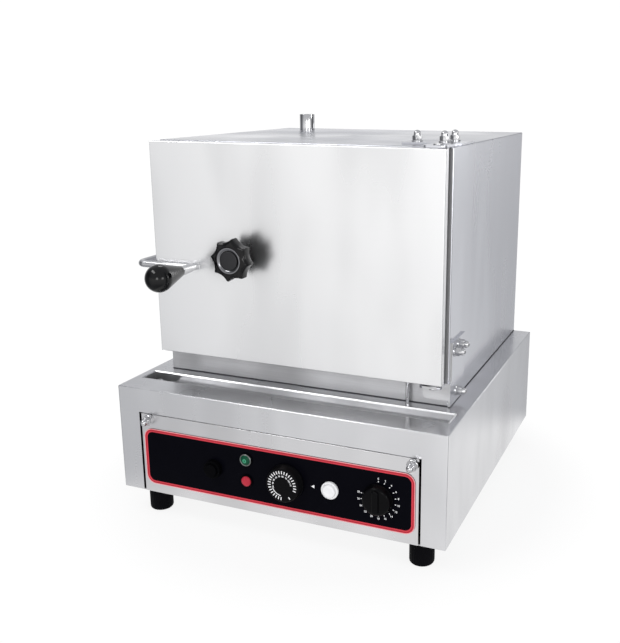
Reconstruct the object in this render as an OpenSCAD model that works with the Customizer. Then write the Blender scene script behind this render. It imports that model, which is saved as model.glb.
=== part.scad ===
// Electric idli steamer: a steaming cabinet with a side-hung door, standing on
// a base that holds the controls. Front faces -Y, the feet stand on Z = 0.

/* [Base] */
// Width of the base
base_w = 480; // [470:1:520]
// Depth of the base
base_d = 480; // [474:1:520]
// Height of the base without its feet
base_h = 153; // [150:1:170]
// Thickness of the steel sheet
sheet = 1.5; // [1.2:0.1:1.8]
// Width of the strip at each side of the front panel
front_strip = 33; // [30:1:36]
// Height of the band above the front panel
front_band = 35; // [32:1:38]
// Slit at each side of the front panel
panel_gap = 3; // [2:0.5:4]
// Slit above the front panel
panel_top_gap = 1; // [0.6:0.1:1.5]
// Gap between pieces that are fitted into each other and stay put
fit_gap = 0.2; // [0.1:0.05:0.3]

/* [Feet] */
// Diameter of a foot
foot_d = 33; // [28:1:38]
// Height of a foot
foot_h = 38; // [30:1:46]
// From the side of the base to the middle of a foot
foot_inset_x = 40; // [36:1:46]
// From the front or back of the base to the middle of a foot
foot_inset_y = 29; // [26:1:34]
// Diameter of a foot screw
foot_screw_d = 6; // [5:0.5:8]

/* [Drip trough] */
// From the side of the base to the end of the trough
trough_side = 11; // [9:1:14]
// From the front of the base to the front of the trough
trough_front = 39; // [36:1:42]
// Width of the trough, front to back
trough_w = 32; // [28:1:34]
// Depth of the trough
trough_depth = 9; // [7:0.5:11]
// Length of the sump at the left end
sump_len = 40; // [34:1:46]
// Depth of the sump
sump_depth = 24; // [20:1:28]
// Diameter of the standpipe in the sump
standpipe_d = 9; // [8:0.5:11]

/* [Cabinet] */
// Ledge of the base at each side of the cabinet
base_ledge = 28; // [24:1:32]
// From the front of the base to the cabinet
cabinet_setback = 92; // [88:1:96]
// Height of the cabinet
cabinet_h = 333; // [325:1:345]
// Diameter of the vent pipe
vent_d = 25.4; // [22:0.2:30]
// Wall of the vent pipe
vent_wall = 1.5; // [1:0.1:2]
// How far the vent pipe stands up
vent_h = 26; // [22:1:34]
// From the left wall of the chamber to the vent pipe
vent_side = 17; // [15:1:25]
// From the back of the cabinet to the vent pipe
vent_back = 55; // [53:1:65]

/* [Chamber] */
// From each side of the cabinet to the chamber
chamber_side = 47; // [44:1:49]
// From the chamber to the back of the cabinet
chamber_rear = 36.5; // [33:0.5:41]
// From the top of the cabinet to the top of the chamber
chamber_top = 24; // [22:1:26]
// Height of the tank floor above the base
tank_lift = 14; // [12:1:16]
// Depth of the water tank below the opening
tank_depth = 45; // [42:1:48]
// Gap between the cabinet sheet and the insulation
insulation_gap = 4; // [3.5:0.5:6]
// Diameter of the overflow tube in front of the cabinet
overflow_d = 5; // [4:0.5:6]
// From the hinge pin to the overflow tube
overflow_side = 38; // [34:1:44]
// Height of the sill above the overflow
overflow_below = 20; // [18:1:22]

/* [Heater] */
// Diameter of the heating tube
heater_d = 8.5; // [7:0.5:10]
// Height of the heating tube above the tank floor
heater_lift = 14; // [12:1:17]
// Half the distance between the inner runs
heater_inner = 40; // [36:1:44]
// Half the distance between the outer runs
heater_outer = 110; // [106:1:116]
// Diameter of a sensor bulb
bulb_d = 6.5; // [5:0.5:8]
// Length of a sensor bulb
bulb_len = 100; // [80:1:110]
// Diameter of a capillary tube
capillary_d = 2; // [1.6:0.1:2.4]

/* [Drain] */
// Outside diameter of the drain pipe
drain_d = 22; // [20:1:26]
// Wall of the drain pipe
drain_wall = 2; // [1.5:0.1:2.5]
// Drain pipe, right of the middle
drain_x = 75; // [70:1:80]
// Height of the drain outlet above the bottom of the base
drain_z = 40; // [36:1:46]
// How far the drain cap reaches past the base
drain_reach = 31.5; // [28:0.5:36]

/* [Trays] */
// Height from one tray to the next
tray_pitch = 78; // [74:1:80]
// From a tray to the back of the chamber
tray_rear = 17.5; // [12:0.5:24]
// Rows of cups, and cups in a row
cup_rows = 3; // [2:1:3]
// Least web between cups
cup_web = 20; // [16:1:24]
// Least edge beside the outer cups
cup_side = 20; // [15:1:24]
// Least edge in front of and behind the outer cups
cup_end = 15; // [12:1:20]
// Depth of a cup
cup_depth = 16; // [14:1:18]
// Width of a tray runner
runner_w = 12; // [10:1:14]

/* [Door] */
// How far the door passes the left side of the cabinet
door_lap = 1; // [0:0.5:3]
// From the bottom of the door to the sill
door_below = 24.5; // [24:0.5:26]
// Depth of the outer pan
door_pan = 12.5; // [12:0.5:13]
// From the cabinet to the front of the door
door_standoff = 24; // [23.5:0.5:26]
// From the right side of the cabinet to the edge of the door
door_inset = 3; // [2:0.5:5]
// Width of the gasket
gasket_w = 14; // [12:1:15]
// Thickness of the gasket
gasket_t = 5; // [4.5:0.5:5.5]
// Gap between the gasket and the cabinet
gasket_gap = 0.3; // [0.2:0.1:0.5]
// Overlap of the gasket round the opening
gasket_lap = 2; // [1:0.5:3]

/* [Hinge] */
// Diameter of a hinge pin
hinge_pin_d = 7; // [6:0.5:7.5]
// From the right edge of the door to the hinge pin
hinge_pin_inset = 13; // [12:0.5:13.5]
// From the front of the door to the hinge pin
hinge_pin_back = 7.5; // [7:0.5:8]
// Radial clearance of a running fit
running_gap = 0.05; // [0.03:0.01:0.08]
// Thickness of the hinge plates
hinge_t = 3; // [2.5:0.5:3.5]
// Gap above and below the door
door_gap = 0.5; // [0.4:0.1:0.8]
// Height of the lower hinge bracket
bracket_h = 86; // [80:1:92]
// Depth of the lower hinge bracket
bracket_d = 61; // [56:1:66]
// Diameter of the studs
stud_d = 6; // [5:0.5:7]
// Width of the dome nuts across their flats
nut_w = 11; // [10:0.5:12]
// Diameter of a washer
washer_d = 15; // [14:0.5:16]
// Thickness of a washer
washer_t = 1.4; // [1:0.1:1.8]

/* [Latch] */
// Diameter of the latch rod
rod_d = 10; // [9:0.5:11]
// From the left edge of the door to the latch pivot
latch_inset = 63; // [60:1:66]
// From the door to the middle of the latch arm
arm_standoff = 9; // [8:0.5:11]
// From the latch pivot to the rod at the side
latch_arm = 85; // [82:1:85]
// Height of the latch above the bottom of the door
latch_z = 128; // [120:1:134]
// Diameter of the grip
grip_d = 37; // [34:1:42]
// Diameter of the grip at its narrow end
grip_neck_d = 15; // [13:1:17]
// Length of the grip
grip_len = 66; // [60:1:70]
// From the door to the grip
grip_stand = 33.5; // [30:0.5:38]

/* [Star knob] */
// Diameter of the star knob over its points
star_d = 58; // [56:1:62]
// Thickness of the star knob
star_t = 19; // [16:1:22]
// From the door to the face of the star knob
star_reach = 40; // [36:1:44]
// From the left edge of the door to the star knob
star_inset = 142; // [138:1:146]
// Diameter of the clamp screw
screw_d = 12; // [10:0.5:13]
// How far the clamp screw draws the seal plate back
seal_travel = 3.5; // [3:0.1:3.7]

/* [Controls] */
// Margin of the panel beside the overlay
overlay_margin = 4; // [2:0.5:8]
// From the top of the base to the overlay
overlay_above = 56.5; // [54:0.25:62]
// Thickness of the overlay
overlay_t = 0.8; // [0.5:0.1:1]
// Corner radius of the overlay
overlay_r = 14; // [10:1:18]
// From the bottom of the base to the overlay
overlay_below = 13.25; // [10:0.25:16]
// From the lamps to the reset button
reset_side = 50.5; // [46.5:0.5:54.5]
// From the thermostat dial to the lamps
lamp_side = 59.5; // [57:0.5:62]
// Green lamp above the middle of the overlay
green_rise = 21; // [20:0.5:22]
// Red lamp above the middle of the overlay
red_rise = -9.5; // [-11:0.5:-8]
// From the right end of the overlay to the thermostat dial
dial_side = 178; // [175:1:181]
// From the right end of the overlay to the push button
button_side = 115; // [112:1:119]
// From the right end of the overlay to the timer knob
timer_side = 49; // [47:1:52]
// Diameter of the thermostat dial
dial_d = 47; // [44:1:50]
// Height of the thermostat dial
dial_h = 13; // [11:1:16]
// Diameter of the timer knob
timer_d = 41; // [38:1:44]
// Height of the timer knob
timer_h = 11; // [9:1:14]
// Diameter of the control spindles
spindle_d = 6; // [5:0.5:7]
// Diameter of the lamp bezels
lamp_d = 18; // [16:1:20]
// Diameter of the push button bezel
button_d = 23.6; // [22:0.2:25]
// Diameter of the reset collar
reset_d = 25; // [23:1:27]
// Travel of the buttons
button_travel = 3; // [2.5:0.5:3.5]

/* [Hidden] */
$fn = 64;
eps = 1;
base_z = foot_h;
base_top = base_z + base_h;
base_front = -base_d / 2;
base_back = base_d / 2;
open_w = base_w - 2 * front_strip;
open_h = base_h - front_band;
panel_w = open_w - 2 * panel_gap;
panel_h = open_h - panel_top_gap;
panel_back = base_front + sheet;
overlay_h = base_h - overlay_above - overlay_below;
panel_z = base_z + overlay_below + overlay_h / 2;
overlay_w = panel_w - 2 * overlay_margin;
dial_x = overlay_w / 2 - dial_side;
lamp_x = dial_x - lamp_side;
reset_x = lamp_x - reset_side;
button_x = overlay_w / 2 - button_side;
timer_x = overlay_w / 2 - timer_side;
overlay_face = base_front - overlay_t;

trough_left = -base_w / 2 + trough_side;
trough_right = base_w / 2 - trough_side;
trough_y0 = base_front + trough_front;
trough_y1 = trough_y0 + trough_w;
trough_flat = 6;
sump_right = trough_left + sump_len;
sump_z = base_top - sump_depth;
standpipe_x = trough_left + sump_len / 2;
standpipe_y = trough_y0 + trough_w / 2;
standpipe_foot = 8;

cabinet_w = base_w - 2 * base_ledge;
cabinet_front = base_front + cabinet_setback;
cabinet_top = base_top + cabinet_h;
cabinet_in = cabinet_w / 2 - sheet;
chamber_front = cabinet_front + sheet;
chamber_w = cabinet_w - 2 * chamber_side;
chamber_back = base_back - chamber_rear;
chamber_ceiling = cabinet_top - chamber_top;
tank_z = base_top + tank_lift;
sill_z = tank_z + tank_depth;
access_w = 250;
access_inset = 56.5;
access_rear = 13.5;
access_front = chamber_front + access_inset;
access_back = chamber_back - access_rear;
vent_shoulder = 1;
vent_step = 0.8;
vent_x = chamber_w / 2 - vent_side;
vent_y = base_back - vent_back;
overflow_h = tank_lift + tank_depth - overflow_below;
overflow_front = 6.5;
overflow_y = cabinet_front - overflow_front;
overflow_bend = 5;
heater_z = tank_z + heater_lift;
heater_inset = 46.5;
heater_back = 31.5;
heater_leg_gap = 22;
heater_front = chamber_front + heater_inset;
heater_rear = chamber_back - heater_back;
heater_legs = heater_rear - heater_leg_gap;
heater_tail = 30;
heater_bend = 15;
sensor_lift = 24;
sensor_z = tank_z + sensor_lift;
sensor_inset = 86.5;
drain_inset = 206.5;
sensor_y = chamber_front + sensor_inset;
drain_y = chamber_front + drain_inset;
drain_bend = 26;
drain_cap_len = 22;
drain_cap_wall = 3;

tray_side = 5;
tray_w = chamber_w - 2 * tray_side;
tray_t = 1.5;
tray_count = 3;
tray_lift = 26;
tray_first = sill_z + tray_lift;
tray_back = 24;
tray_front = cabinet_front + tray_back;
tray_d = chamber_back - tray_rear - tray_front;
cup_gaps = cup_rows - 1;
cup_room = min(tray_w - 2 * cup_side, tray_d - 2 * cup_end);
cup_d = (cup_room - cup_gaps * cup_web) / cup_rows;
cup_pitch_x = (tray_w - 2 * cup_side - cup_d) / cup_gaps;
cup_pitch_y = (tray_d - 2 * cup_end - cup_d) / cup_gaps;
cup_r = (pow(cup_d / 2, 2) + pow(cup_depth, 2)) / (2 * cup_depth);
cup_hole_d = 5;
rack_t = 2;

door_right = cabinet_w / 2 - door_inset;
door_left = -cabinet_w / 2 - door_lap;
door_front = cabinet_front - door_standoff;
door_skin = door_front + sheet;
door_top = cabinet_top - door_gap;
door_bottom = sill_z - door_below;
door_h = door_top - door_bottom;
hinge_x = door_right - hinge_pin_inset;
overflow_x = hinge_x - overflow_side;
hinge_y = door_front + hinge_pin_back;
hinge_block_h = 18;
hinge_block_w = 18;
tab_top = door_bottom - washer_t - door_gap;

seal_w = chamber_w + 2 * (gasket_lap + gasket_w);
seal_z0 = sill_z - gasket_lap - gasket_w;
seal_z1 = chamber_ceiling + gasket_lap + gasket_w;
gasket_back = cabinet_front - gasket_gap;
seal_back = gasket_back - gasket_t;
seal_front = seal_back - sheet;
seal_rim = 8;
sleeve_d = 14;
guide_d = 8;
sleeve_len = 8.5;
guide_inset = 40;

star_x = door_left + star_inset;
star_z = (door_bottom + door_top) / 2;
star_face = door_front - star_reach;
star_hub_d = 30;
star_hub_len = 13;
star_dish_d = 34;
star_dish = 3;
star_cap_d = 22;
boss_d = 28;
seal_clear = 0.7;
thrust_d = 24;
thrust_len = 4;
boss_len = seal_front - thrust_len - seal_travel - seal_clear - door_skin;
journal_step = 2;
journal_d = screw_d - 2 * journal_step;
retainer_len = 6;

latch_x = door_left + latch_inset;
latch_height = door_bottom + latch_z;
latch_rod_x = latch_x - latch_arm;
latch_arm_y = door_front - arm_standoff;
stem_d = 10;
grip_back = door_front - grip_stand;
keeper_t = 3;
keeper_gap = 2.2;
hook_back = 40;
hook_y = cabinet_front + hook_back;
hook_drop = 25.7;
hook_clear = 1.8;
keeper_top = latch_height - hook_drop - hook_clear;
keeper_y = hook_y - rod_d / 2 - keeper_gap - keeper_t;
bush_d = 16;
bush_flange_d = 17.5;
bush_flange_t = 1;
bush_len = 5;
collar_d = 16;
collar_len = 3;

gland_x = -150;
gland_d = 26;
gland_thread_d = 20;
gland_bore = 9;
gland_len = 22;
gland_nut = 5;
gland_wall = 1;
gland_relief_d = 13;
plate_flange = 12;
bushing_d = 10;
spindle_depth = 12;
spindle_clear = 2;
button_clear = 2;
pin_head = 2;
pin_head_rim = 2;
foot_taper = 2;
foot_wall = 2;
foot_screw_head = 3.6;
retainer_rim = 4;
gland_hex = 1.2;
reset_neck_d = 12;
lamp_neck_d = 14;
lamp_bezel_h = 2.5;
lamp_dome = 3;
lamp_lens_r = 14;
lamp_len = 22;
lamp_nut = 5;
button_neck_d = 21;
button_cap_d = 18;
button_bezel_h = 4;
button_stand = 4;
switch_len = 28;
collar_wall = 3.5;
reset_collar_h = 8;
bracket_lap = 18;
bracket_rise = 20;
bracket_in = 1;
panel_spacer = 5;
capillary_bend = 6;
terminal_x = 120;
terminal_y = 60;
terminal_w = 80;
terminal_d = 30;
terminal_h = 24;
terminal_ways = 4;
drain_flange = 2;
drain_flange_rim = 6;
heater_bend_ease = 1;
gland_hex_h = 8;
rack_inset = 30;
rack_bar = 16;
rack_foot = 14;
tongue_left = 18;
tongue_right = 12;
tongue_back = 1.5;
tongue_r = 6;
bracket_foot = 9;
slit_w = 3;
pin_engage = 14;
guide_len = 10;
star_points = 8;
star_hollow = 23;
star_bite = 4.6;
star_round = 0.35;
star_edge = 0.25;
star_wall = 6;
stem_tail = -40;
ferrule_step = 1.5;
collar_gap = 0.3;
keeper_h = 44;
keeper_len = 26;
dial_flare = 3;
timer_taper = 4;
timer_bar_w = 9;
timer_bar_h = 3;

switch_d = 26;
control_gap = 0.6;
thermostat_size = 38;
thermostat_len = 30;
timer_size = 50;
timer_len = 42;
limiter_size = 34;
limiter_len = 26;
neck_gap = 0.25;

stud_edge = 11;
stud_drop = 8;
stud_shift = 4;
panel_stud_x = panel_w / 2 - stud_edge;
panel_stud_z = base_z + open_h - stud_drop;
nut_h = 6;
dome_step = 1.5;
dome_d = nut_w - dome_step;
dome_h = 5;
dome_neck = 2;
stud_head_d = 11;
stud_head = 2;
TOP_NUTS = [[-48, 48.5], [-11, 46.5], [-6, 76.5]];
SIDE_NUTS = [[33.5, 77], [15.5, 72], [25.5, 15]];

// Shapes that several pieces share

module block(low, high) {
    translate(low) cube(high - low);
}

// Stands a shape on a wall that faces the front: its +Z points to -Y
module facing_front(x, y, z) {
    translate([x, y, z]) rotate([90, 0, 0]) children();
}

module rounded_plate(size, r, t) {
    linear_extrude(t) {
        square([size.x - 2 * r, size.y], center = true);
        square([size.x, size.y - 2 * r], center = true);
        for (sx = [-1, 1], sy = [-1, 1])
            translate([sx * (size.x / 2 - r), sy * (size.y / 2 - r)]) circle(r);
    }
}

module ring(outer, inner, h) {
    difference() {
        cylinder(d = outer, h = h);
        translate([0, 0, -eps]) cylinder(d = inner, h = h + 2 * eps);
    }
}

function unit(v) = v / norm(v);
function axes(x, y, z, o) = [
    [x.x, y.x, z.x, o.x],
    [x.y, y.y, z.y, o.y],
    [x.z, y.z, z.z, o.z],
    [0, 0, 0, 1]];
function side_of(v) = abs(v.z) < 0.9 ? unit(cross([0, 0, 1], v)) : [1, 0, 0];

module bar(from, to, d) {
    w = unit(to - from);
    u = side_of(w);
    multmatrix(axes(u, cross(w, u), w, from)) cylinder(d = d, h = norm(to - from));
}

// A round bar along points, bent with radius r at each inner point
module bent_bar(points, d, r) {
    last = len(points) - 1;
    function turn(i) = i == 0 || i == last ? 0
        : acos(unit(points[i] - points[i - 1]) * unit(points[i + 1] - points[i]));
    function cut(i) = r * tan(turn(i) / 2);
    for (i = [0 : last - 1]) {
        w = unit(points[i + 1] - points[i]);
        bar(points[i] + w * cut(i), points[i + 1] - w * cut(i + 1), d);
    }
    for (i = [1 : last - 1]) {
        u = unit(points[i] - points[i - 1]);
        v = unit(points[i + 1] - points[i]);
        n = unit(v - u * (u * v));
        multmatrix(axes(-n, u, cross(u, n), points[i] - u * cut(i) + n * r))
            rotate_extrude(angle = turn(i)) translate([r, 0]) circle(d = d);
    }
}

// A round hole through a level sheet whose underside is at z
module level_hole(x, y, z, d) {
    translate([x, y, z - eps]) cylinder(d = d + 2 * fit_gap, h = sheet + 2 * eps);
}

// A round hole through an upright sheet whose back is at y
module upright_hole(x, y, z, d) {
    facing_front(x, y + eps, z) cylinder(d = d + 2 * fit_gap, h = sheet + 2 * eps);
}

module dome_nut() {
    difference() {
        union() {
            cylinder(d = nut_w / cos(30), h = nut_h, $fn = 6);
            cylinder(d = dome_d, h = nut_h + dome_h - dome_d / 2 + dome_neck);
            translate([0, 0, nut_h + dome_h - dome_d / 2 + dome_neck]) sphere(d = dome_d);
        }
        translate([0, 0, -eps]) cylinder(d = stud_d + 2 * fit_gap, h = nut_h + dome_neck + eps);
    }
}

// Places of the fasteners, with +Z pointing out of the sheet they hold

module at_top_nuts(z) {
    for (n = TOP_NUTS) translate([hinge_x + n.x, cabinet_front + n.y, z]) children();
}

module at_side_nuts(x) {
    for (n = SIDE_NUTS) translate([x, cabinet_front + n.x, base_top + n.y]) rotate([0, 90, 0]) children();
}

module at_panel_nuts(y) {
    for (s = [-1, 1]) facing_front(s * panel_stud_x + stud_shift, y, panel_stud_z) children();
}

module at_feet(z) {
    for (sx = [-1, 1], sy = [-1, 1])
        translate([sx * (base_w / 2 - foot_inset_x), sy * (base_d / 2 - foot_inset_y), z]) children();
}

module at_sensors() {
    for (x = [dial_x, reset_x]) translate([x, 0, 0]) children();
}

module at_heater_legs(z) {
    for (s = [-1, 1]) translate([s * heater_inner, heater_legs, z]) children();
}

// Base

module base_shell() color("silver") difference() {
    block([-base_w / 2, base_front, base_z], [base_w / 2, base_back, base_top]);
    block([sheet - base_w / 2, panel_back, base_z - eps],
        [base_w / 2 - sheet, base_back - sheet, base_top - sheet]);
    block([-open_w / 2, base_front - eps, base_z - eps], [open_w / 2, panel_back + eps, base_z + open_h]);
    block([trough_left - fit_gap, trough_y0 - fit_gap, base_top - sheet - eps],
        [trough_right + fit_gap, trough_y1 + fit_gap, base_top + eps]);
    block([-access_w / 2, access_front, base_top - sheet - eps],
        [access_w / 2, access_back, base_top + eps]);
    level_hole(overflow_x, overflow_y, base_top - sheet, overflow_d);
    upright_hole(drain_x, base_back, base_z + drain_z, drain_d);
    upright_hole(gland_x, base_back, base_z + drain_z, gland_thread_d);
}

module bottom_plate() color("gray") difference() {
    union() {
        block([sheet + fit_gap - base_w / 2, panel_back, base_z],
            [base_w / 2 - sheet - fit_gap, base_back - sheet - fit_gap, base_z + sheet]);
        block([-panel_w / 2, panel_back, base_z], [panel_w / 2, panel_back + sheet, base_z + plate_flange]);
    }
    at_feet(base_z) level_hole(0, 0, 0, foot_screw_d);
    level_hole(standpipe_x, standpipe_y, base_z, standpipe_d);
}

module drip_trough() color("silver") {
    translate([sump_right, 0, 0]) rotate([90, 0, 90]) linear_extrude(trough_right - sump_right) polygon([
        [trough_y0, base_top], [trough_y1 - trough_flat, base_top - trough_depth],
        [trough_y1 - sheet, base_top - trough_depth], [trough_y1 - sheet, base_top],
        [trough_y1, base_top], [trough_y1, base_top - trough_depth - sheet],
        [trough_y1 - trough_flat, base_top - trough_depth - sheet], [trough_y0, base_top - sheet]]);
    block([trough_right - sheet, trough_y0, base_top - trough_depth - sheet],
        [trough_right, trough_y1, base_top]);
    difference() {
        block([trough_left, trough_y0, sump_z - sheet], [sump_right + sheet, trough_y1, base_top]);
        block([trough_left + sheet, trough_y0 + sheet, sump_z],
            [sump_right, trough_y1 - sheet, base_top + eps]);
        block([sump_right - eps, trough_y0 + sheet, base_top - trough_depth],
            [sump_right + sheet + eps, trough_y1 - sheet, base_top + eps]);
        level_hole(standpipe_x, standpipe_y, sump_z - sheet, standpipe_d);
    }
}

module trough_drain() color("silver")
    translate([standpipe_x, standpipe_y, base_z - standpipe_foot])
        ring(standpipe_d, standpipe_d - 2 * sheet, base_top - sump_depth / 4 - base_z + standpipe_foot);

module feet() color("black") at_feet(0) difference() {
    union() {
        cylinder(d1 = foot_d - 2 * foot_taper, d2 = foot_d, h = foot_h / 4);
        translate([0, 0, foot_h / 4]) cylinder(d = foot_d, h = foot_h * 3 / 4);
    }
    translate([0, 0, foot_h / 2]) cylinder(d = foot_screw_d + 2 * fit_gap, h = foot_h);
}

module foot_screws() color("silver") at_feet(foot_h / 2 + foot_wall) {
    cylinder(d = foot_screw_d, h = foot_h / 2 - foot_wall + sheet);
    translate([0, 0, foot_h / 2 - foot_wall + sheet])
        cylinder(d = foot_screw_d * 2, h = foot_screw_head, $fn = 6);
}

// Front panel and what is fixed to it

module control_hole(x, z, d) {
    facing_front(x, panel_back + eps, z) cylinder(d = d, h = sheet + overlay_t + 2 * eps);
}

module control_holes() {
    control_hole(reset_x, panel_z, reset_neck_d + 2 * fit_gap);
    control_hole(lamp_x, panel_z + green_rise, lamp_neck_d + 2 * fit_gap);
    control_hole(lamp_x, panel_z + red_rise, lamp_neck_d + 2 * fit_gap);
    control_hole(dial_x, panel_z, bushing_d + 2 * fit_gap);
    control_hole(button_x, panel_z, button_neck_d + 2 * fit_gap);
    control_hole(timer_x, panel_z, bushing_d + 2 * fit_gap);
}

module control_panel() color("lightgray") difference() {
    block([-panel_w / 2, base_front, base_z], [panel_w / 2, panel_back, base_z + panel_h]);
    control_holes();
    at_panel_nuts(panel_back) level_hole(0, 0, 0, stud_d);
}

module panel_overlay() color("black") difference() {
    facing_front(0, base_front, panel_z) rounded_plate([overlay_w, overlay_h], overlay_r, overlay_t);
    control_holes();
}

module panel_brackets() color("gray") difference() {
    for (s = [-1, 1]) {
        low = s > 0 ? panel_w / 2 - 2 * bracket_lap : bracket_in - panel_w / 2;
        high = s > 0 ? panel_w / 2 - bracket_in : 2 * bracket_lap - panel_w / 2;
        block([low, panel_back, panel_stud_z - bracket_rise],
            [high, panel_back + hinge_t, panel_stud_z + bracket_rise]);
    }
    at_panel_nuts(panel_back + hinge_t + eps) cylinder(d = stud_d + 2 * fit_gap, h = hinge_t + 2 * eps);
}

// Studs with a head inside, in the cabinet, the lower bracket and the panel
module studs() color("silver") {
    at_top_nuts(cabinet_top - sheet) stud(sheet + hinge_t);
    at_side_nuts(cabinet_w / 2 - sheet) stud(sheet + hinge_t);
    at_panel_nuts(panel_back + hinge_t) stud(hinge_t + sheet + panel_spacer);
}

module stud(grip) {
    translate([0, 0, -stud_head]) cylinder(d = stud_head_d, h = stud_head);
    cylinder(d = stud_d, h = grip + washer_t + nut_h);
}

module washers() color("silver") {
    at_top_nuts(cabinet_top + hinge_t) washer(washer_t);
    at_side_nuts(cabinet_w / 2 + hinge_t) washer(washer_t);
    at_panel_nuts(base_front) washer(washer_t + panel_spacer);
}

module washer(t) {
    ring(washer_d, stud_d + 2 * fit_gap, t);
}

module dome_nuts() color("silver") {
    at_top_nuts(cabinet_top + hinge_t + washer_t) dome_nut();
    at_side_nuts(cabinet_w / 2 + hinge_t + washer_t) dome_nut();
    at_panel_nuts(base_front - washer_t - panel_spacer) dome_nut();
}

module square_body(size, length) {
    translate([-size / 2, -size / 2, 0]) cube([size, size, length]);
}

// A turned control: a square body behind the panel with a threaded bushing through it
module control_body(x, size, length) {
    difference() {
        union() {
            facing_front(x, panel_back + length, panel_z) square_body(size, length);
            facing_front(x, panel_back, panel_z) cylinder(d = bushing_d, h = sheet + overlay_t);
        }
        facing_front(x, panel_back + spindle_depth, panel_z)
            cylinder(d = spindle_d + 2 * running_gap, h = spindle_depth + sheet + overlay_t + eps);
    }
}

module thermostat_body() color("dimgray") control_body(dial_x, thermostat_size, thermostat_len);

module timer_body() color("dimgray") control_body(timer_x, timer_size, timer_len);

// A bulb in the tank, and its capillary through the tank floor to the control
module sensor_bulbs() color("peru") for (s = [[dial_x, thermostat_len], [reset_x, limiter_len]]) {
    start = panel_back + s[1];
    bent_bar([[s[0], start, panel_z], [s[0], sensor_y, panel_z], [s[0], sensor_y, sensor_z],
        [s[0], sensor_y + 2 * capillary_bend, sensor_z]], capillary_d, capillary_bend);
    bulb = sensor_y + 2 * capillary_bend;
    bar([s[0], bulb, sensor_z], [s[0], bulb + bulb_len, sensor_z], bulb_d);
}

module limiter_body() color("dimgray") difference() {
    union() {
        facing_front(reset_x, panel_back + limiter_len, panel_z) square_body(limiter_size, limiter_len);
        facing_front(reset_x, panel_back, panel_z) cylinder(d = reset_neck_d, h = sheet + overlay_t);
    }
    facing_front(reset_x, panel_back + button_travel + button_clear, panel_z)
        cylinder(d = spindle_d + 2 * running_gap, h = button_travel + button_clear + sheet + overlay_t + eps);
}

module reset_collar() color("black") facing_front(reset_x, overlay_face, panel_z)
    ring(reset_d, reset_d - 2 * collar_wall, reset_collar_h);

module lamp(rise) {
    facing_front(lamp_x, overlay_face - lamp_bezel_h, panel_z + rise) intersection() {
        translate([0, 0, lamp_dome - lamp_lens_r]) sphere(r = lamp_lens_r);
        cylinder(d = lamp_neck_d - 2 * fit_gap, h = lamp_dome);
    }
    facing_front(lamp_x, panel_back + lamp_len, panel_z + rise)
        cylinder(d = lamp_neck_d - 2 * fit_gap, h = lamp_len + sheet + overlay_t + lamp_bezel_h);
    facing_front(lamp_x, panel_back + lamp_nut, panel_z + rise) cylinder(d = lamp_d, h = lamp_nut, $fn = 6);
}

module green_lamp() color("seagreen") lamp(green_rise);

module red_lamp() color("crimson") lamp(red_rise);

module lamp_bezels() color("silver") for (rise = [green_rise, red_rise])
    facing_front(lamp_x, overlay_face, panel_z + rise) ring(lamp_d, lamp_neck_d, lamp_bezel_h);

module button_bezel() color("white") difference() {
    union() {
        facing_front(button_x, overlay_face, panel_z) cylinder(d = button_d, h = button_bezel_h);
        facing_front(button_x, panel_back, panel_z) cylinder(d = button_neck_d, h = sheet + overlay_t);
    }
    facing_front(button_x, panel_back + eps, panel_z)
        cylinder(d = button_cap_d + 2 * running_gap, h = sheet + overlay_t + button_bezel_h + 2 * eps);
}

module switch_body() color("dimgray") difference() {
    facing_front(button_x, panel_back + switch_len, panel_z) cylinder(d = switch_d, h = switch_len);
    facing_front(button_x, panel_back + button_travel + button_clear, panel_z)
        cylinder(d = button_cap_d + 2 * neck_gap, h = button_travel + button_clear + eps);
}

module terminal_block() color("ivory") difference() {
    block([terminal_x - terminal_w / 2, terminal_y, base_z + sheet],
        [terminal_x + terminal_w / 2, terminal_y + terminal_d, base_z + sheet + terminal_h]);
    for (i = [0 : terminal_ways - 1])
        translate([terminal_x + (i - (terminal_ways - 1) / 2) * terminal_w / terminal_ways,
            terminal_y + terminal_d / 2,
            base_z + sheet + terminal_h / 2]) cylinder(d = terminal_d / 4, h = terminal_h);
}

module cable_gland() color("black") facing_front(gland_x, base_back, base_z + drain_z) difference() {
    union() {
        translate([0, 0, -gland_len]) cylinder(d = gland_d, h = gland_len);
        cylinder(d = gland_thread_d, h = sheet + gland_nut);
        translate([0, 0, sheet]) cylinder(d = gland_d, h = gland_nut, $fn = 6);
    }
    translate([0, 0, -gland_len - eps])
        cylinder(d = gland_bore, h = gland_len + sheet + gland_nut + 2 * eps);
    translate([0, 0, -gland_wall]) cylinder(d = gland_relief_d, h = gland_wall + sheet + gland_nut + eps);
}

// Drain of the tank

module drain_route(d) {
    bent_bar([[drain_x, drain_y, tank_z - sheet], [drain_x, drain_y, base_z + drain_z],
        [drain_x, base_back + drain_reach - drain_cap_wall, base_z + drain_z]], d, drain_bend);
}

module drain_pipe() color("silver") difference() {
    union() {
        drain_route(drain_d);
        translate([drain_x, drain_y, tank_z - sheet - drain_flange])
            cylinder(d = drain_d + 2 * drain_flange_rim, h = drain_flange);
    }
    drain_route(drain_d - 2 * drain_wall);
}

module drain_cap() color("silver")
facing_front(drain_x, base_back + drain_reach, base_z + drain_z) difference() {
    cylinder(d = drain_d + 2 * drain_cap_wall, h = drain_cap_len);
    translate([0, 0, drain_cap_wall]) cylinder(d = drain_d + 2 * fit_gap, h = drain_cap_len);
}

// Cabinet

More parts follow.
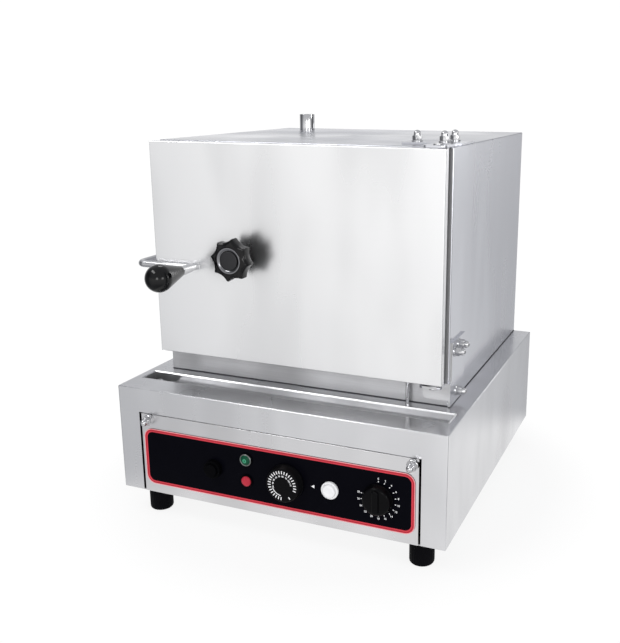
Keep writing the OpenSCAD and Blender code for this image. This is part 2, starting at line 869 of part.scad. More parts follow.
module cabinet_shell() color("silver") difference() {
    block([-cabinet_w / 2, cabinet_front, base_top], [cabinet_w / 2, base_back, cabinet_top]);
    block([-cabinet_in, chamber_front, base_top - eps],
        [cabinet_in, base_back - sheet, cabinet_top - sheet]);
    block([-chamber_w / 2, cabinet_front - eps, sill_z],
        [chamber_w / 2, chamber_front + eps, chamber_ceiling]);
    at_top_nuts(cabinet_top - sheet) level_hole(0, 0, 0, stud_d);
    at_side_nuts(cabinet_w / 2 - sheet) level_hole(0, 0, 0, stud_d);
    level_hole(-vent_x, vent_y, cabinet_top - sheet, vent_d);
    upright_hole(overflow_x, chamber_front, base_top + overflow_h, overflow_d);
}

module chamber() color("gainsboro") difference() {
    block([-chamber_w / 2 - sheet, chamber_front, sill_z],
        [chamber_w / 2 + sheet, chamber_back + sheet, chamber_ceiling + sheet]);
    block([-chamber_w / 2, chamber_front - eps, sill_z - eps],
        [chamber_w / 2, chamber_back, chamber_ceiling]);
    level_hole(-vent_x, vent_y, chamber_ceiling, vent_d);
}

// The chamber stands on the rim of the tank
module water_tank() color("gainsboro") difference() {
    block([-chamber_w / 2 - sheet, chamber_front, tank_z - sheet],
        [chamber_w / 2 + sheet, chamber_back + sheet, sill_z]);
    block([-chamber_w / 2, chamber_front + sheet, tank_z], [chamber_w / 2, chamber_back, sill_z + eps]);
    level_hole(drain_x, drain_y, tank_z - sheet, drain_d - 2 * drain_wall - 2 * fit_gap);
    at_heater_legs(tank_z - sheet) level_hole(0, 0, 0, heater_d);
    at_sensors() level_hole(0, sensor_y, tank_z - sheet, capillary_d);
    upright_hole(overflow_x, chamber_front + sheet, base_top + overflow_h, overflow_d);
}

module insulation() color("khaki") difference() {
    block([insulation_gap - cabinet_in, chamber_front + sheet, tank_z],
        [cabinet_in - insulation_gap, base_back - sheet - insulation_gap,
            cabinet_top - sheet - insulation_gap]);
    block([-chamber_w / 2 - sheet - fit_gap, chamber_front, tank_z - eps],
        [chamber_w / 2 + sheet + fit_gap, chamber_back + sheet + fit_gap,
            chamber_ceiling + sheet + fit_gap]);
    translate([-vent_x, vent_y, chamber_ceiling]) cylinder(d = vent_d + 2 * fit_gap, h = chamber_top);
}

// The mouth is a socket with a shoulder for a duct
module vent_pipe() color("silver") translate([-vent_x, vent_y, chamber_ceiling]) {
    socket = vent_h - vent_shoulder;
    ring(vent_d, vent_d - 2 * vent_wall - 2 * vent_step, chamber_top + vent_h - socket);
    translate([0, 0, chamber_top + vent_h - socket - eps])
        ring(vent_d, vent_d - 2 * vent_wall, socket + eps);
}

module overflow_tube() color("silver") bent_bar([[overflow_x, overflow_y, base_top - 2 * sheet],
    [overflow_x, overflow_y, base_top + overflow_h],
    [overflow_x, chamber_front + sheet, base_top + overflow_h]],
    overflow_d, overflow_bend);

// Heater

module heating_element() color("dimgray") bent_bar([
    [-heater_inner, heater_legs, tank_z - heater_tail], [-heater_inner, heater_legs, heater_z],
    [-heater_inner, heater_front, heater_z], [-heater_outer, heater_front, heater_z],
    [-heater_outer, heater_rear, heater_z], [heater_outer, heater_rear, heater_z],
    [heater_outer, heater_front, heater_z], [heater_inner, heater_front, heater_z],
    [heater_inner, heater_legs, heater_z], [heater_inner, heater_legs, tank_z - heater_tail]],
    heater_d, heater_bend - heater_bend_ease);

module element_glands() color("goldenrod") at_heater_legs(tank_z - sheet - gland_hex_h) difference() {
    cylinder(d = 2 * gland_hex * heater_d, h = gland_hex_h, $fn = 6);
    translate([0, 0, -eps]) cylinder(d = heater_d + 2 * fit_gap, h = gland_hex_h + 2 * eps);
}

// Trays

// Two uprights on the chamber wall with an angle runner for each tray
module tray_rack(s) {
    wall = chamber_w / 2;
    inner = wall - rack_t;
    module span(x0, x1, y0, y1, z0, z1) {
        block([s > 0 ? x0 : -x1, y0, z0], [s > 0 ? x1 : -x0, y1, z1]);
    }
    for (y = [tray_front + rack_inset, tray_front + tray_d - rack_inset - rack_bar])
        span(inner, wall, y, y + rack_bar, tray_first - rack_foot,
            tray_first + (tray_count - 1) * tray_pitch + rack_foot);
    for (i = [0 : tray_count - 1])
        span(wall - rack_t - runner_w, wall - rack_t, tray_front, tray_front + tray_d,
            tray_first + i * tray_pitch - rack_t, tray_first + i * tray_pitch);
}

module tray_rack_left() color("silver") tray_rack(-1);

module tray_rack_right() color("silver") tray_rack(1);

module cup() {
    rotate_extrude() intersection() {
        translate([0, cup_r - cup_depth]) difference() {
            circle(cup_r + tray_t);
            circle(cup_r);
        }
        translate([cup_hole_d / 2, -cup_depth - tray_t]) square([cup_d, cup_depth + tray_t]);
    }
}

module at_cups() {
    middle = cup_gaps / 2;
    for (i = [0 : cup_rows - 1], j = [0 : cup_rows - 1])
        translate([(i - middle) * cup_pitch_x, tray_front + tray_d / 2 + (j - middle) * cup_pitch_y, 0])
            children();
}

module idli_tray(level) color("lightgray") translate([0, 0, tray_first + level * tray_pitch + tray_t]) {
    difference() {
        block([-tray_w / 2, tray_front, -tray_t], [tray_w / 2, tray_front + tray_d, 0]);
        at_cups() translate([0, 0, -tray_t - eps]) cylinder(d = cup_d, h = tray_t + 2 * eps);
    }
    at_cups() cup();
}

// Hinges

module hinge_plate_top() color("silver") difference() {
    union() {
        block([hinge_x + TOP_NUTS[0].x - washer_d, cabinet_front + TOP_NUTS[1].y - washer_d, cabinet_top],
            [cabinet_w / 2, cabinet_front + TOP_NUTS[2].y + washer_d, cabinet_top + hinge_t]);
        hinge_tongue(cabinet_front + TOP_NUTS[1].y, cabinet_top);
    }
    hinge_pin_hole(cabinet_top);
    at_top_nuts(cabinet_top - eps) cylinder(d = stud_d + 2 * fit_gap, h = hinge_t + 2 * eps);
}

// A tongue with round corners that reaches forward to the hinge pin
module hinge_tongue(back, z) {
    front = door_front + tongue_back;
    translate([hinge_x + (tongue_right - tongue_left) / 2, (front + back) / 2, z])
        rounded_plate([tongue_left + tongue_right, back - front], tongue_r, hinge_t);
}

module hinge_pin_hole(z) {
    translate([hinge_x, hinge_y, z - eps])
        cylinder(d = hinge_pin_d + 2 * running_gap, h = hinge_t + 2 * eps);
}

// A plate on the cabinet's side, a flange round its corner and a tab under the door
module hinge_bracket_bottom() color("silver") difference() {
    union() {
        block([cabinet_w / 2, cabinet_front - hinge_t, base_top + eps],
            [cabinet_w / 2 + hinge_t, cabinet_front + bracket_d, base_top + bracket_h]);
        block([hinge_x, cabinet_front - hinge_t, base_top + bracket_foot],
            [cabinet_w / 2 + hinge_t, cabinet_front, tab_top]);
        flange_h = tab_top - base_top - bracket_foot;
        facing_front(hinge_x, cabinet_front, tab_top - flange_h / 2)
            rounded_plate([2 * tongue_left, flange_h], tongue_r, hinge_t);
        hinge_tongue(cabinet_front, tab_top - hinge_t);
        block([hinge_x - tongue_left + tongue_r, cabinet_front - tongue_r, tab_top - hinge_t],
            [hinge_x + tongue_right, cabinet_front, tab_top]);
    }
    hinge_pin_hole(tab_top - hinge_t);
    at_side_nuts(cabinet_w / 2 - eps) cylinder(d = stud_d + 2 * fit_gap, h = hinge_t + 2 * eps);
    block([cabinet_w / 2 - eps, cabinet_front - hinge_t - eps, tab_top],
        [cabinet_w / 2 + hinge_t + eps, cabinet_front + slit_w, base_top + bracket_h + eps]);
}

module hinge_pin(low, high, d) {
    translate([hinge_x, hinge_y, low]) cylinder(d = d, h = high - low);
}

module hinge_pins() color("silver") {
    hinge_pin(door_top - pin_engage, cabinet_top + hinge_t, hinge_pin_d);
    hinge_pin(cabinet_top + hinge_t, cabinet_top + hinge_t + pin_head, hinge_pin_d + 2 * pin_head_rim);
    hinge_pin(tab_top - hinge_t, door_bottom + pin_engage, hinge_pin_d);
    hinge_pin(tab_top - hinge_t - pin_head, tab_top - hinge_t, hinge_pin_d + 2 * pin_head_rim);
}

module hinge_washer() color("goldenrod") translate([hinge_x, hinge_y, tab_top])
    ring(washer_d, hinge_pin_d + 2 * fit_gap, washer_t);

// Door

module door_shell() color("gainsboro") difference() {
    block([door_left, door_front, door_bottom], [door_right, door_front + door_pan, door_top]);
    block([door_left + sheet, door_skin, door_bottom + sheet],
        [door_right - sheet, door_front + door_pan + eps, door_top - sheet]);
    translate([hinge_x, hinge_y, door_bottom - eps])
        cylinder(d = hinge_pin_d + 2 * neck_gap, h = door_h + 2 * eps);
    facing_front(star_x, door_skin + eps, star_z) cylinder(d = screw_d + 2 * neck_gap, h = sheet + 2 * eps);
    upright_hole(latch_x, door_skin, latch_height, bush_d);
}

module hinge_blocks() color("gray") difference() {
    for (z = [door_bottom + sheet, door_top - sheet - hinge_block_h])
        block([door_right - sheet - hinge_block_w, door_skin, z],
            [door_right - sheet, door_front + door_pan - eps, z + hinge_block_h]);
    translate([hinge_x, hinge_y, door_bottom]) cylinder(d = hinge_pin_d + 2 * running_gap, h = door_h);
}

module clamp_boss() color("gray") facing_front(star_x, door_skin + boss_len, star_z)
    ring(boss_d, screw_d + 2 * running_gap, boss_len);

module latch_bush() color("silver") difference() {
    union() {
        facing_front(latch_x, door_front, latch_height) cylinder(d = bush_flange_d, h = bush_flange_t);
        facing_front(latch_x, door_front + bush_len, latch_height) cylinder(d = bush_d, h = bush_len);
    }
    facing_front(latch_x, door_front + bush_len + eps, latch_height)
        cylinder(d = stem_d + 2 * running_gap, h = bush_len + bush_flange_t + 2 * eps);
}

module at_guides(y) {
    for (x = [guide_inset - seal_w / 2, seal_w / 2 - guide_inset],
        z = [seal_z0 + guide_inset, seal_z1 - guide_inset])
        facing_front(x, y, z) children();
}

module guide_pins() color("silver") at_guides(door_skin + guide_len) cylinder(d = guide_d, h = guide_len);

module seal_plate() color("lightgray") difference() {
    union() {
        difference() {
            block([-seal_w / 2, seal_front - seal_rim, seal_z0], [seal_w / 2, seal_back, seal_z1]);
            block([sheet - seal_w / 2, seal_front - seal_rim - eps, seal_z0 + sheet],
                [seal_w / 2 - sheet, seal_front, seal_z1 - sheet]);
        }
        at_guides(seal_front) cylinder(d = sleeve_d, h = sleeve_len);
        facing_front(star_x, seal_front, star_z) cylinder(d = thrust_d, h = thrust_len);
    }
    at_guides(seal_front) cylinder(d = guide_d + 2 * running_gap, h = sleeve_len + eps);
    facing_front(star_x, seal_back + eps, star_z)
        cylinder(d = journal_d + 2 * running_gap, h = thrust_len + sheet + 2 * eps);
}

module door_gasket() color("dimgray") difference() {
    block([-seal_w / 2, seal_back, seal_z0], [seal_w / 2, gasket_back, seal_z1]);
    block([gasket_w - seal_w / 2, seal_back - eps, seal_z0 + gasket_w],
        [seal_w / 2 - gasket_w, gasket_back + eps, seal_z1 - gasket_w]);
}

// Star knob and clamp screw

// Eight points with hollow flanks between them
module star_outline() {
    difference() {
        circle(d = star_d);
        for (i = [0 : star_points - 1])
            rotate((i + 0.5) * 360 / star_points)
                translate([star_d / 2 + star_hollow - star_bite, 0]) circle(star_hollow);
    }
}

module star_knob() color("black") facing_front(star_x, star_face + star_t, star_z) difference() {
    union() {
        intersection() {
            linear_extrude(star_t) star_outline();
            rotate_extrude() star_section();
        }
        translate([0, 0, -star_hub_len]) cylinder(d = star_hub_d, h = star_hub_len + eps);
    }
    translate([0, 0, star_t - star_dish]) ring(star_dish_d, star_cap_d, star_dish + eps);
    translate([0, 0, -star_hub_len - eps])
        cylinder(d = screw_d + 2 * running_gap, h = star_hub_len + star_t - star_wall + eps);
}

// Half section of the knob, with its rim rounded at the front and back
module star_section() {
    r = star_t / 2;
    square([star_d / 2 - r * star_round, star_t]);
    translate([0, star_t * star_edge]) square([star_d / 2, star_t * (1 - 2 * star_edge)]);
    polygon([[star_d / 2 - r * star_round, 0], [star_d / 2, star_t * star_edge],
        [star_d / 2, star_t * (1 - star_edge)], [star_d / 2 - r * star_round, star_t]]);
}

module clamp_screw() color("silver") {
    tip = [star_x, star_face + star_wall, star_z];
    bar(tip, [star_x, seal_front - thrust_len - gasket_gap, star_z], screw_d);
    bar(tip, [star_x, seal_back + gasket_gap + retainer_len - eps, star_z], journal_d);
}

module screw_retainer() color("silver")
facing_front(star_x, seal_back + gasket_gap + retainer_len, star_z) difference() {
    cylinder(d = screw_d + 2 * retainer_rim, h = retainer_len, $fn = 6);
    translate([0, 0, eps]) cylinder(d = journal_d + 2 * running_gap, h = retainer_len);
}

// Latch

// The rod starts at its stem, runs to the left, round the door's edge and hooks down
module latch_rod() color("silver") {
    bent_bar([[latch_x, latch_arm_y, latch_height], [latch_rod_x, latch_arm_y, latch_height],
        [latch_rod_x, hook_y, latch_height],
        [latch_rod_x, hook_y, latch_height - hook_drop]], rod_d, rod_d);
    stem_back = door_front + bush_len + collar_gap + collar_len;
    bar([latch_x, grip_back + stem_tail, latch_height], [latch_x, stem_back, latch_height], stem_d);
    facing_front(latch_x, latch_arm_y, latch_height)
        cylinder(d1 = stem_d + ferrule_step, d2 = grip_neck_d - eps, h = latch_arm_y - grip_back);
    facing_front(latch_x, stem_back, latch_height) cylinder(d = collar_d, h = collar_len);
}

// A ball with a cone that meets it without a step
module latch_grip() color("black") facing_front(latch_x, grip_back, latch_height) difference() {
    union() {
        ball = grip_len - grip_d / 2;
        lean = asin((grip_d / 2 - grip_neck_d / 2) / ball);
        translate([0, 0, ball]) sphere(d = grip_d);
        cylinder(d1 = grip_neck_d, d2 = grip_d * cos(lean), h = ball - grip_d / 2 * sin(lean));
    }
    translate([0, 0, -eps]) cylinder(d = stem_d + 2 * fit_gap, h = grip_len * 2 / 3);
}

// An angle on the cabinet's left side, with a lip in front of the hook
module latch_keeper() color("silver") {
    block([-cabinet_w / 2 - keeper_t, keeper_y, keeper_top - keeper_h],
        [-cabinet_w / 2, keeper_y + keeper_len, keeper_top]);
    block([latch_rod_x - rod_d / 2, keeper_y, keeper_top - keeper_h / 2],
        [-cabinet_w / 2, keeper_y + keeper_t, keeper_top]);
}

// Knobs and buttons

module knob_spindle() {
    behind = control_gap + overlay_t + sheet + spindle_depth - spindle_clear;
    translate([0, 0, -behind]) cylinder(d = spindle_d, h = behind + spindle_clear);
}

module thermostat_knob() color("black") facing_front(dial_x, overlay_face - control_gap, panel_z) {
    cylinder(d = dial_d + dial_flare, h = dial_h / 4);
    translate([0, 0, dial_h / 4]) cylinder(d1 = dial_d + dial_flare, d2 = dial_d, h = dial_h * 3 / 4);
    knob_spindle();
}

module timer_knob() color("black") facing_front(timer_x, overlay_face - control_gap, panel_z) {
    cylinder(d = timer_d, h = timer_h / 4);
    translate([0, 0, timer_h / 4]) cylinder(d1 = timer_d, d2 = timer_d - timer_taper, h = timer_h * 3 / 4);
    translate([-timer_bar_w / 2, -timer_d / 2 + timer_taper, timer_h])
        cube([timer_bar_w, timer_d - 2 * timer_taper, timer_bar_h]);
    knob_spindle();
}

module push_button() color("white") {
    facing_front(button_x, panel_back + eps, panel_z)
        cylinder(d = button_cap_d, h = eps + sheet + overlay_t + button_bezel_h + button_stand);
}

module reset_button() color("black")
facing_front(reset_x, overlay_face - control_gap - button_travel, panel_z) {
    behind = control_gap + button_travel + overlay_t + sheet + eps;
    cylinder(d = reset_d - 2 * collar_wall - 2 * neck_gap, h = reset_collar_h - control_gap);
    translate([0, 0, -behind]) cylinder(d = spindle_d, h = behind + eps);
}

base_shell();
bottom_plate();
drip_trough();
trough_drain();
feet();
foot_screws();
control_panel();
panel_overlay();
panel_brackets();
studs();
washers();
dome_nuts();
thermostat_body();
sensor_bulbs();
limiter_body();
reset_collar();
green_lamp();
red_lamp();
lamp_bezels();
button_bezel();
switch_body();
timer_body();
terminal_block();
cable_gland();
drain_pipe();
drain_cap();
cabinet_shell();
chamber();
water_tank();
insulation();
heating_element();
element_glands();
tray_rack_left();
tray_rack_right();
idli_tray(0);  // idli_tray_1
idli_tray(1);  // idli_tray_2
idli_tray(2);  // idli_tray_3
vent_pipe();
overflow_tube();
hinge_plate_top();
hinge_bracket_bottom();
hinge_pins();
hinge_washer();
latch_keeper();
door_shell();
hinge_blocks();
clamp_boss();
latch_bush();
guide_pins();
seal_plate();
door_gasket();
star_knob();
clamp_screw();
screw_retainer();
latch_rod();
latch_grip();
thermostat_knob();
timer_knob();
push_button();
reset_button();
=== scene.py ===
"""Looks of a countertop idli steamer: a sheet-steel cabinet with a side-hung door on a control base.

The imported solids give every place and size. Each sub-assembly below is a class: it takes its places
from those solids, makes the finer pieces that stand for them, and dresses the solids that stay.
"""

import logging
import math
from collections.abc import Callable, Iterable, Sequence
from dataclasses import dataclass, field
from enum import Enum

import bmesh
import bpy
from mathutils import Matrix, Vector


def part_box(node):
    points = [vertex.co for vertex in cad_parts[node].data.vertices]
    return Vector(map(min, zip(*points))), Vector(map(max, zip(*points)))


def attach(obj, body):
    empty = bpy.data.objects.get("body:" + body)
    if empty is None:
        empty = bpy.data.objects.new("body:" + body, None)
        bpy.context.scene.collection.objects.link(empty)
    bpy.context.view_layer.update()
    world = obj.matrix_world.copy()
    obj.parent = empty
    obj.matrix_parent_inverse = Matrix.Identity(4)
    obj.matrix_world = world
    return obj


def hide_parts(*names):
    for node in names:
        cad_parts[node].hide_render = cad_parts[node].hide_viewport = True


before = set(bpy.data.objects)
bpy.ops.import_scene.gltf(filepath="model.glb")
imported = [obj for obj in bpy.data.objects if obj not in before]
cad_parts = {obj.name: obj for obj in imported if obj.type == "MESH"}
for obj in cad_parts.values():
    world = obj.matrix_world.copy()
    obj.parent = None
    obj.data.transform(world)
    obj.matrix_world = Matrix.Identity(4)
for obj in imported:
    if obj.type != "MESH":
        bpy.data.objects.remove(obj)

log = logging.getLogger("idli_steamer")
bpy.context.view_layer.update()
MM = 0.001
Colour = tuple[float, float, float]
Points = Sequence[tuple[float, float]]
Node, NodeTree, Socket, Piece = bpy.types.Node, bpy.types.NodeTree, bpy.types.NodeSocket, bpy.types.Object


class Facing(Enum):
    """Side that a turned piece looks to, as the turn of its own upright axis."""

    UP = (0.0, "X")
    FRONT = (90.0, "X")
    RIGHT = (90.0, "Y")

    def at(self, point: Sequence[float]) -> Matrix:
        """Returns the placing of a piece whose own origin is at the point."""
        degrees, axis = self.value
        return Matrix.Translation(Vector(point)) @ Matrix.Rotation(math.radians(degrees), 4, axis)


# Shader trees


class Tree:
    """A node tree with short calls to place nodes and join them."""

    def __init__(self, tree: NodeTree) -> None:
        """Keeps the tree."""
        self.tree = tree

    def feed(self, node: Node, ins: dict) -> Node:
        """Gives a node its inputs, by name or number, each a socket to join or a plain value."""
        for key, value in ins.items():
            if isinstance(value, Socket):
                self.tree.links.new(value, node.inputs[key])
            else:
                node.inputs[key].default_value = value
        return node

    def node(self, kind: str, ins: dict | None = None, **settings: object) -> Node:
        """Places one node, by its type without the word ShaderNode, with its inputs and settings."""
        node = self.tree.nodes.new(f"ShaderNode{kind}")
        for name, value in settings.items():
            setattr(node, name, value)
        return self.feed(node, ins or {})

    def math(self, operation: str, *values: object) -> Socket:
        """Returns the result of a sum on sockets or values."""
        return self.node("Math", dict(enumerate(values)), operation=operation).outputs[0]

    def weigh(self, first: Socket, first_share: float, second: Socket, second_share: float) -> Socket:
        """Returns the sum of two values, each times its share."""
        return self.math("MULTIPLY_ADD", first, first_share, self.math("MULTIPLY", second, second_share))

    def between(self, share: Socket, first: object, second: object, kind: str = "FLOAT") -> Socket:
        """Returns a value or a colour between two, by the share."""
        return self.node("Mix", {"Factor": share, "A": first, "B": second}, data_type=kind).outputs["Result"]

    def spread(self, value: Socket, source: Sequence[float], target: Sequence[float] = (0.0, 1.0),
               smooth: bool = False) -> Socket:
        """Returns the value carried from one range to another, and held inside it."""
        kind = "SMOOTHSTEP" if smooth else "LINEAR"
        ins = {"Value": value, "From Min": source[0], "From Max": source[1],
               "To Min": target[0], "To Max": target[1]}
        return self.node("MapRange", ins, interpolation_type=kind).outputs["Result"]

    def ramp(self, value: Socket, stops: Points) -> Socket:
        """Returns a grey tone by the value, run smoothly through the stops."""
        node = self.node("ValToRGB", {"Fac": value})
        ramp = node.color_ramp
        ramp.interpolation = "EASE"
        while len(ramp.elements) < len(stops):
            ramp.elements.new(0.5)
        for element, (place, tone) in zip(ramp.elements, stops):
            element.position = place
            element.color = (tone, tone, tone, 1.0)
        return node.outputs["Color"]

    def tint(self, share: Socket, low: Colour, high: Colour) -> Socket:
        """Returns a colour between two, by the share."""
        return self.between(share, (*low, 1.0), (*high, 1.0), "RGBA")


class Effect(Enum):
    """Surface effects that several finishes share, each one shader group."""

    POLISH_LINES = "polish_lines"
    SOFT_SMEARS = "soft_smears"
    MOULDED_GRAIN = "moulded_grain"

    def group(self) -> NodeTree:
        """Returns the effect's group, made on its first use."""
        found = bpy.data.node_groups.get(self.value)
        return found or {Effect.POLISH_LINES: polish_lines, Effect.SOFT_SMEARS: soft_smears,
                         Effect.MOULDED_GRAIN: moulded_grain}[self](self.value)

    def place(self, tree: Tree, **values: float) -> Socket:
        """Puts the effect in a material and returns its mask, from 0 to 1 over the surface."""
        return tree.node("Group", values, node_tree=self.group()).outputs["Mask"]


def start_group(name: str, inputs: dict[str, float]) -> tuple[Tree, Node]:
    """Starts an effect's group from the usual values of its inputs, and returns its tree and input node."""
    group = bpy.data.node_groups.new(name, "ShaderNodeTree")
    for label, value in inputs.items():
        group.interface.new_socket(label, in_out="INPUT", socket_type="NodeSocketFloat").default_value = value
    group.interface.new_socket("Mask", in_out="OUTPUT", socket_type="NodeSocketFloat")
    return Tree(group), group.nodes.new("NodeGroupInput")


def end_group(tree: Tree, mask: Socket) -> NodeTree:
    """Joins the mask to the group's output and returns the group."""
    tree.feed(tree.tree.nodes.new("NodeGroupOutput"), {"Mask": mask})
    return tree.tree


def polish_lines(name: str) -> NodeTree:
    """Makes the fine lines of a polishing belt, level on upright faces and along X on level ones."""
    tree, inputs = start_group(name, {"Fineness": 700.0, "Reach": 2.0})
    place = tree.node("SeparateXYZ", {0: tree.node("TexCoord").outputs["Object"]}).outputs
    upward = tree.node("SeparateXYZ", {0: tree.node("NewGeometry").outputs["Normal"]}).outputs["Z"]
    level = tree.spread(tree.math("ABSOLUTE", upward), (0.6, 0.8), smooth=True)
    across = tree.between(level, place["Z"], place["Y"])
    along = tree.between(level, place["Y"], place["Z"])
    fine = tree.math("MULTIPLY", across, inputs.outputs["Fineness"])
    first = tree.math("MULTIPLY", place["X"], inputs.outputs["Reach"])
    second = tree.math("MULTIPLY", along, inputs.outputs["Reach"])
    spot = tree.node("CombineXYZ", {0: first, 1: second, 2: fine}).outputs[0]
    noise = tree.node("TexNoise", {"Vector": spot, "Scale": 1.0, "Detail": 4.0, "Roughness": 0.65})
    return end_group(tree, tree.spread(noise.outputs["Fac"], (0.3, 0.7)))


def soft_smears(name: str) -> NodeTree:
    """Makes broad soft smears that run upright, as wiped and rolled sheet shows."""
    tree, inputs = start_group(name, {"Breadth": 9.0, "Stretch": 0.3})
    place = tree.node("SeparateXYZ", {0: tree.node("TexCoord").outputs["Object"]}).outputs
    upright = tree.math("MULTIPLY", place["Z"], inputs.outputs["Stretch"])
    spot = tree.node("CombineXYZ", {0: place["X"], 1: place["Y"], 2: upright}).outputs[0]
    noise = tree.node("TexNoise", {"Vector": spot, "Scale": inputs.outputs["Breadth"], "Detail": 2.0})
    return end_group(tree, tree.spread(noise.outputs["Fac"], (0.32, 0.68), smooth=True))


def moulded_grain(name: str) -> NodeTree:
    """Makes the fine grain and faint flow marks of a moulding."""
    tree, inputs = start_group(name, {"Fineness": 1800.0})
    place = tree.node("TexCoord").outputs["Object"]
    fine = tree.node("TexNoise", {"Vector": place, "Scale": inputs.outputs["Fineness"], "Detail": 2.0})
    flow = tree.node("TexNoise", {"Vector": place, "Scale": 45.0, "Detail": 3.0, "Distortion": 0.6})
    both = tree.weigh(fine.outputs["Fac"], 0.5, flow.outputs["Fac"], 0.5)
    return end_group(tree, tree.spread(both, (0.3, 0.7)))


# Finishes


def scaled(colour: Colour, share: float) -> Colour:
    """Returns the colour made darker or lighter, held at white."""
    return tuple(min(part * share, 1.0) for part in colour)


@dataclass(frozen=True)
class Finish:
    """What every finish holds: its name, main colour, roughness and slot, and how far the two vary."""

    name: str
    colour: Colour
    roughness: float
    slot: str = ""
    contrast: float = 0.1
    rough: tuple[float, float] = (1.15, 0.85)

    def material(self) -> bpy.types.Material:
        """Returns the finish's material, made on its first use."""
        title = f"{self.name}_finish"
        found = bpy.data.materials.get(title)
        if found:
            return found
        material = bpy.data.materials.new(title)
        material.use_nodes = True
        shader = material.node_tree.nodes["Principled BSDF"]
        shader.inputs["Roughness"].default_value = self.roughness
        material.diffuse_color = (*self.colour, 1.0)
        tree = Tree(material.node_tree)
        tree.feed(shader, self.looks(tree))
        return material

    def looks(self, tree: Tree) -> dict[str, object]:
        """Places the finish's own nodes and returns the shader's inputs."""
        raise NotImplementedError

    def varied(self, tree: Tree, mask: Socket) -> dict[str, object]:
        """Returns the colour and the roughness over the surface, by a mask from 0 to 1."""
        low, high = scaled(self.colour, 1 - self.contrast), scaled(self.colour, 1 + self.contrast)
        ends = [self.roughness * share for share in self.rough]
        return {"Base Color": tree.tint(mask, low, high), "Roughness": tree.spread(mask, (0.0, 1.0), ends)}


@dataclass(frozen=True)
class SteelFinish(Finish):
    """Sheet or turned metal with polish lines and soft smears."""

    slot: str = "brushed_sheet"
    lines: float = 0.5
    smears: float = 0.5
    pull: float = 0.5
    pull_turn: float = 0.25
    fineness: float = 700.0
    breadth: float = 9.0

    def looks(self, tree: Tree) -> dict[str, object]:
        """Returns the metal's inputs, its colour and roughness led by lines and smears."""
        lines = Effect.POLISH_LINES.place(tree, Fineness=self.fineness)
        smears = Effect.SOFT_SMEARS.place(tree, Breadth=self.breadth)
        mask = tree.weigh(lines, self.lines, smears, self.smears)
        return self.varied(tree, mask) | {"Metallic": 1.0, "Anisotropic": self.pull,
                                          "Anisotropic Rotation": self.pull_turn}


@dataclass(frozen=True)
class MouldedFinish(Finish):
    """Moulded plastic, rubber, lacquer or print, with fine grain."""

    slot: str = "black_plastic"
    contrast: float = 0.12
    rough: tuple[float, float] = (0.85, 1.2)
    specular: float = 0.3
    grain: float = 0.03
    grain_depth: float = 0.1
    coat: float = 0.0
    coat_roughness: float = 0.05
    fineness: float = 1800.0
    bounce: float = 1.5

    def looks(self, tree: Tree) -> dict[str, object]:
        """Returns the moulding's inputs, its colour, roughness and relief led by the grain."""
        grain = Effect.MOULDED_GRAIN.place(tree, Fineness=self.fineness)
        bump = tree.node("Bump", {"Strength": self.grain, "Distance": self.grain_depth * MM, "Height": grain})
        return self.varied(tree, grain) | {
            "Normal": bump.outputs["Normal"], "IOR": self.bounce, "Specular IOR Level": self.specular,
            "Coat Weight": self.coat, "Coat Roughness": self.coat_roughness}


DOOR_SHEET = SteelFinish("door_sheet", (0.8, 0.8, 0.805), 0.27, lines=0.07, smears=0.9, contrast=0.07)
CABINET_SHEET = SteelFinish("cabinet_sheet", (0.6, 0.605, 0.64), 0.25, lines=0.06, smears=0.9, breadth=7.0)
BASE_SHEET = SteelFinish("base_sheet", (0.66, 0.66, 0.675), 0.26, lines=0.07, smears=0.9)
PANEL_SHEET = SteelFinish("panel_sheet", (0.66, 0.655, 0.665), 0.27, lines=0.07, smears=0.9)
# Cabinet front faces: the higher roughness is real, the darker colour paints shade on them.
FRONT_SHADE = SteelFinish("front_painted_shade", (0.55, 0.55, 0.56), 0.52, lines=0.3, smears=0.7)
# Bracket's front flange: rougher than the cabinet steel, and darker, which paints shade on it.
FLANGE_SHADE = SteelFinish("flange_painted_shade", (0.57, 0.57, 0.575), 0.34, lines=0.14, smears=0.86)
# Drip trough: darker than the base steel, which paints shade in its recess.
TROUGH_SHADE = SteelFinish("trough_painted_shade", (0.5, 0.5, 0.51), 0.36, lines=0.3, smears=0.7)
# Trough's rear fold: a real fold, in a lighter steel that paints a highlight along it.
FOLD_HIGHLIGHT = SteelFinish("fold_painted_highlight", (0.86, 0.86, 0.87), 0.34, contrast=0.05)
INSIDE_SHEET = SteelFinish("inside_sheet", (0.6, 0.6, 0.61), 0.32)
TRAY_METAL = SteelFinish("tray_metal", (0.72, 0.725, 0.735), 0.34, pull=0.2, fineness=600.0)
BRIGHT_STEEL = SteelFinish("bright_steel", (0.56, 0.56, 0.57), 0.1, "bright_steel", 0.05, pull=0.0)
SATIN_STEEL = SteelFinish("satin_steel", (0.58, 0.58, 0.59), 0.28, "bright_steel", 0.06, pull=0.0)
LAMP_RIM = SteelFinish("lamp_rim", (0.22, 0.24, 0.23), 0.3, "bright_steel", 0.05, pull=0.0)
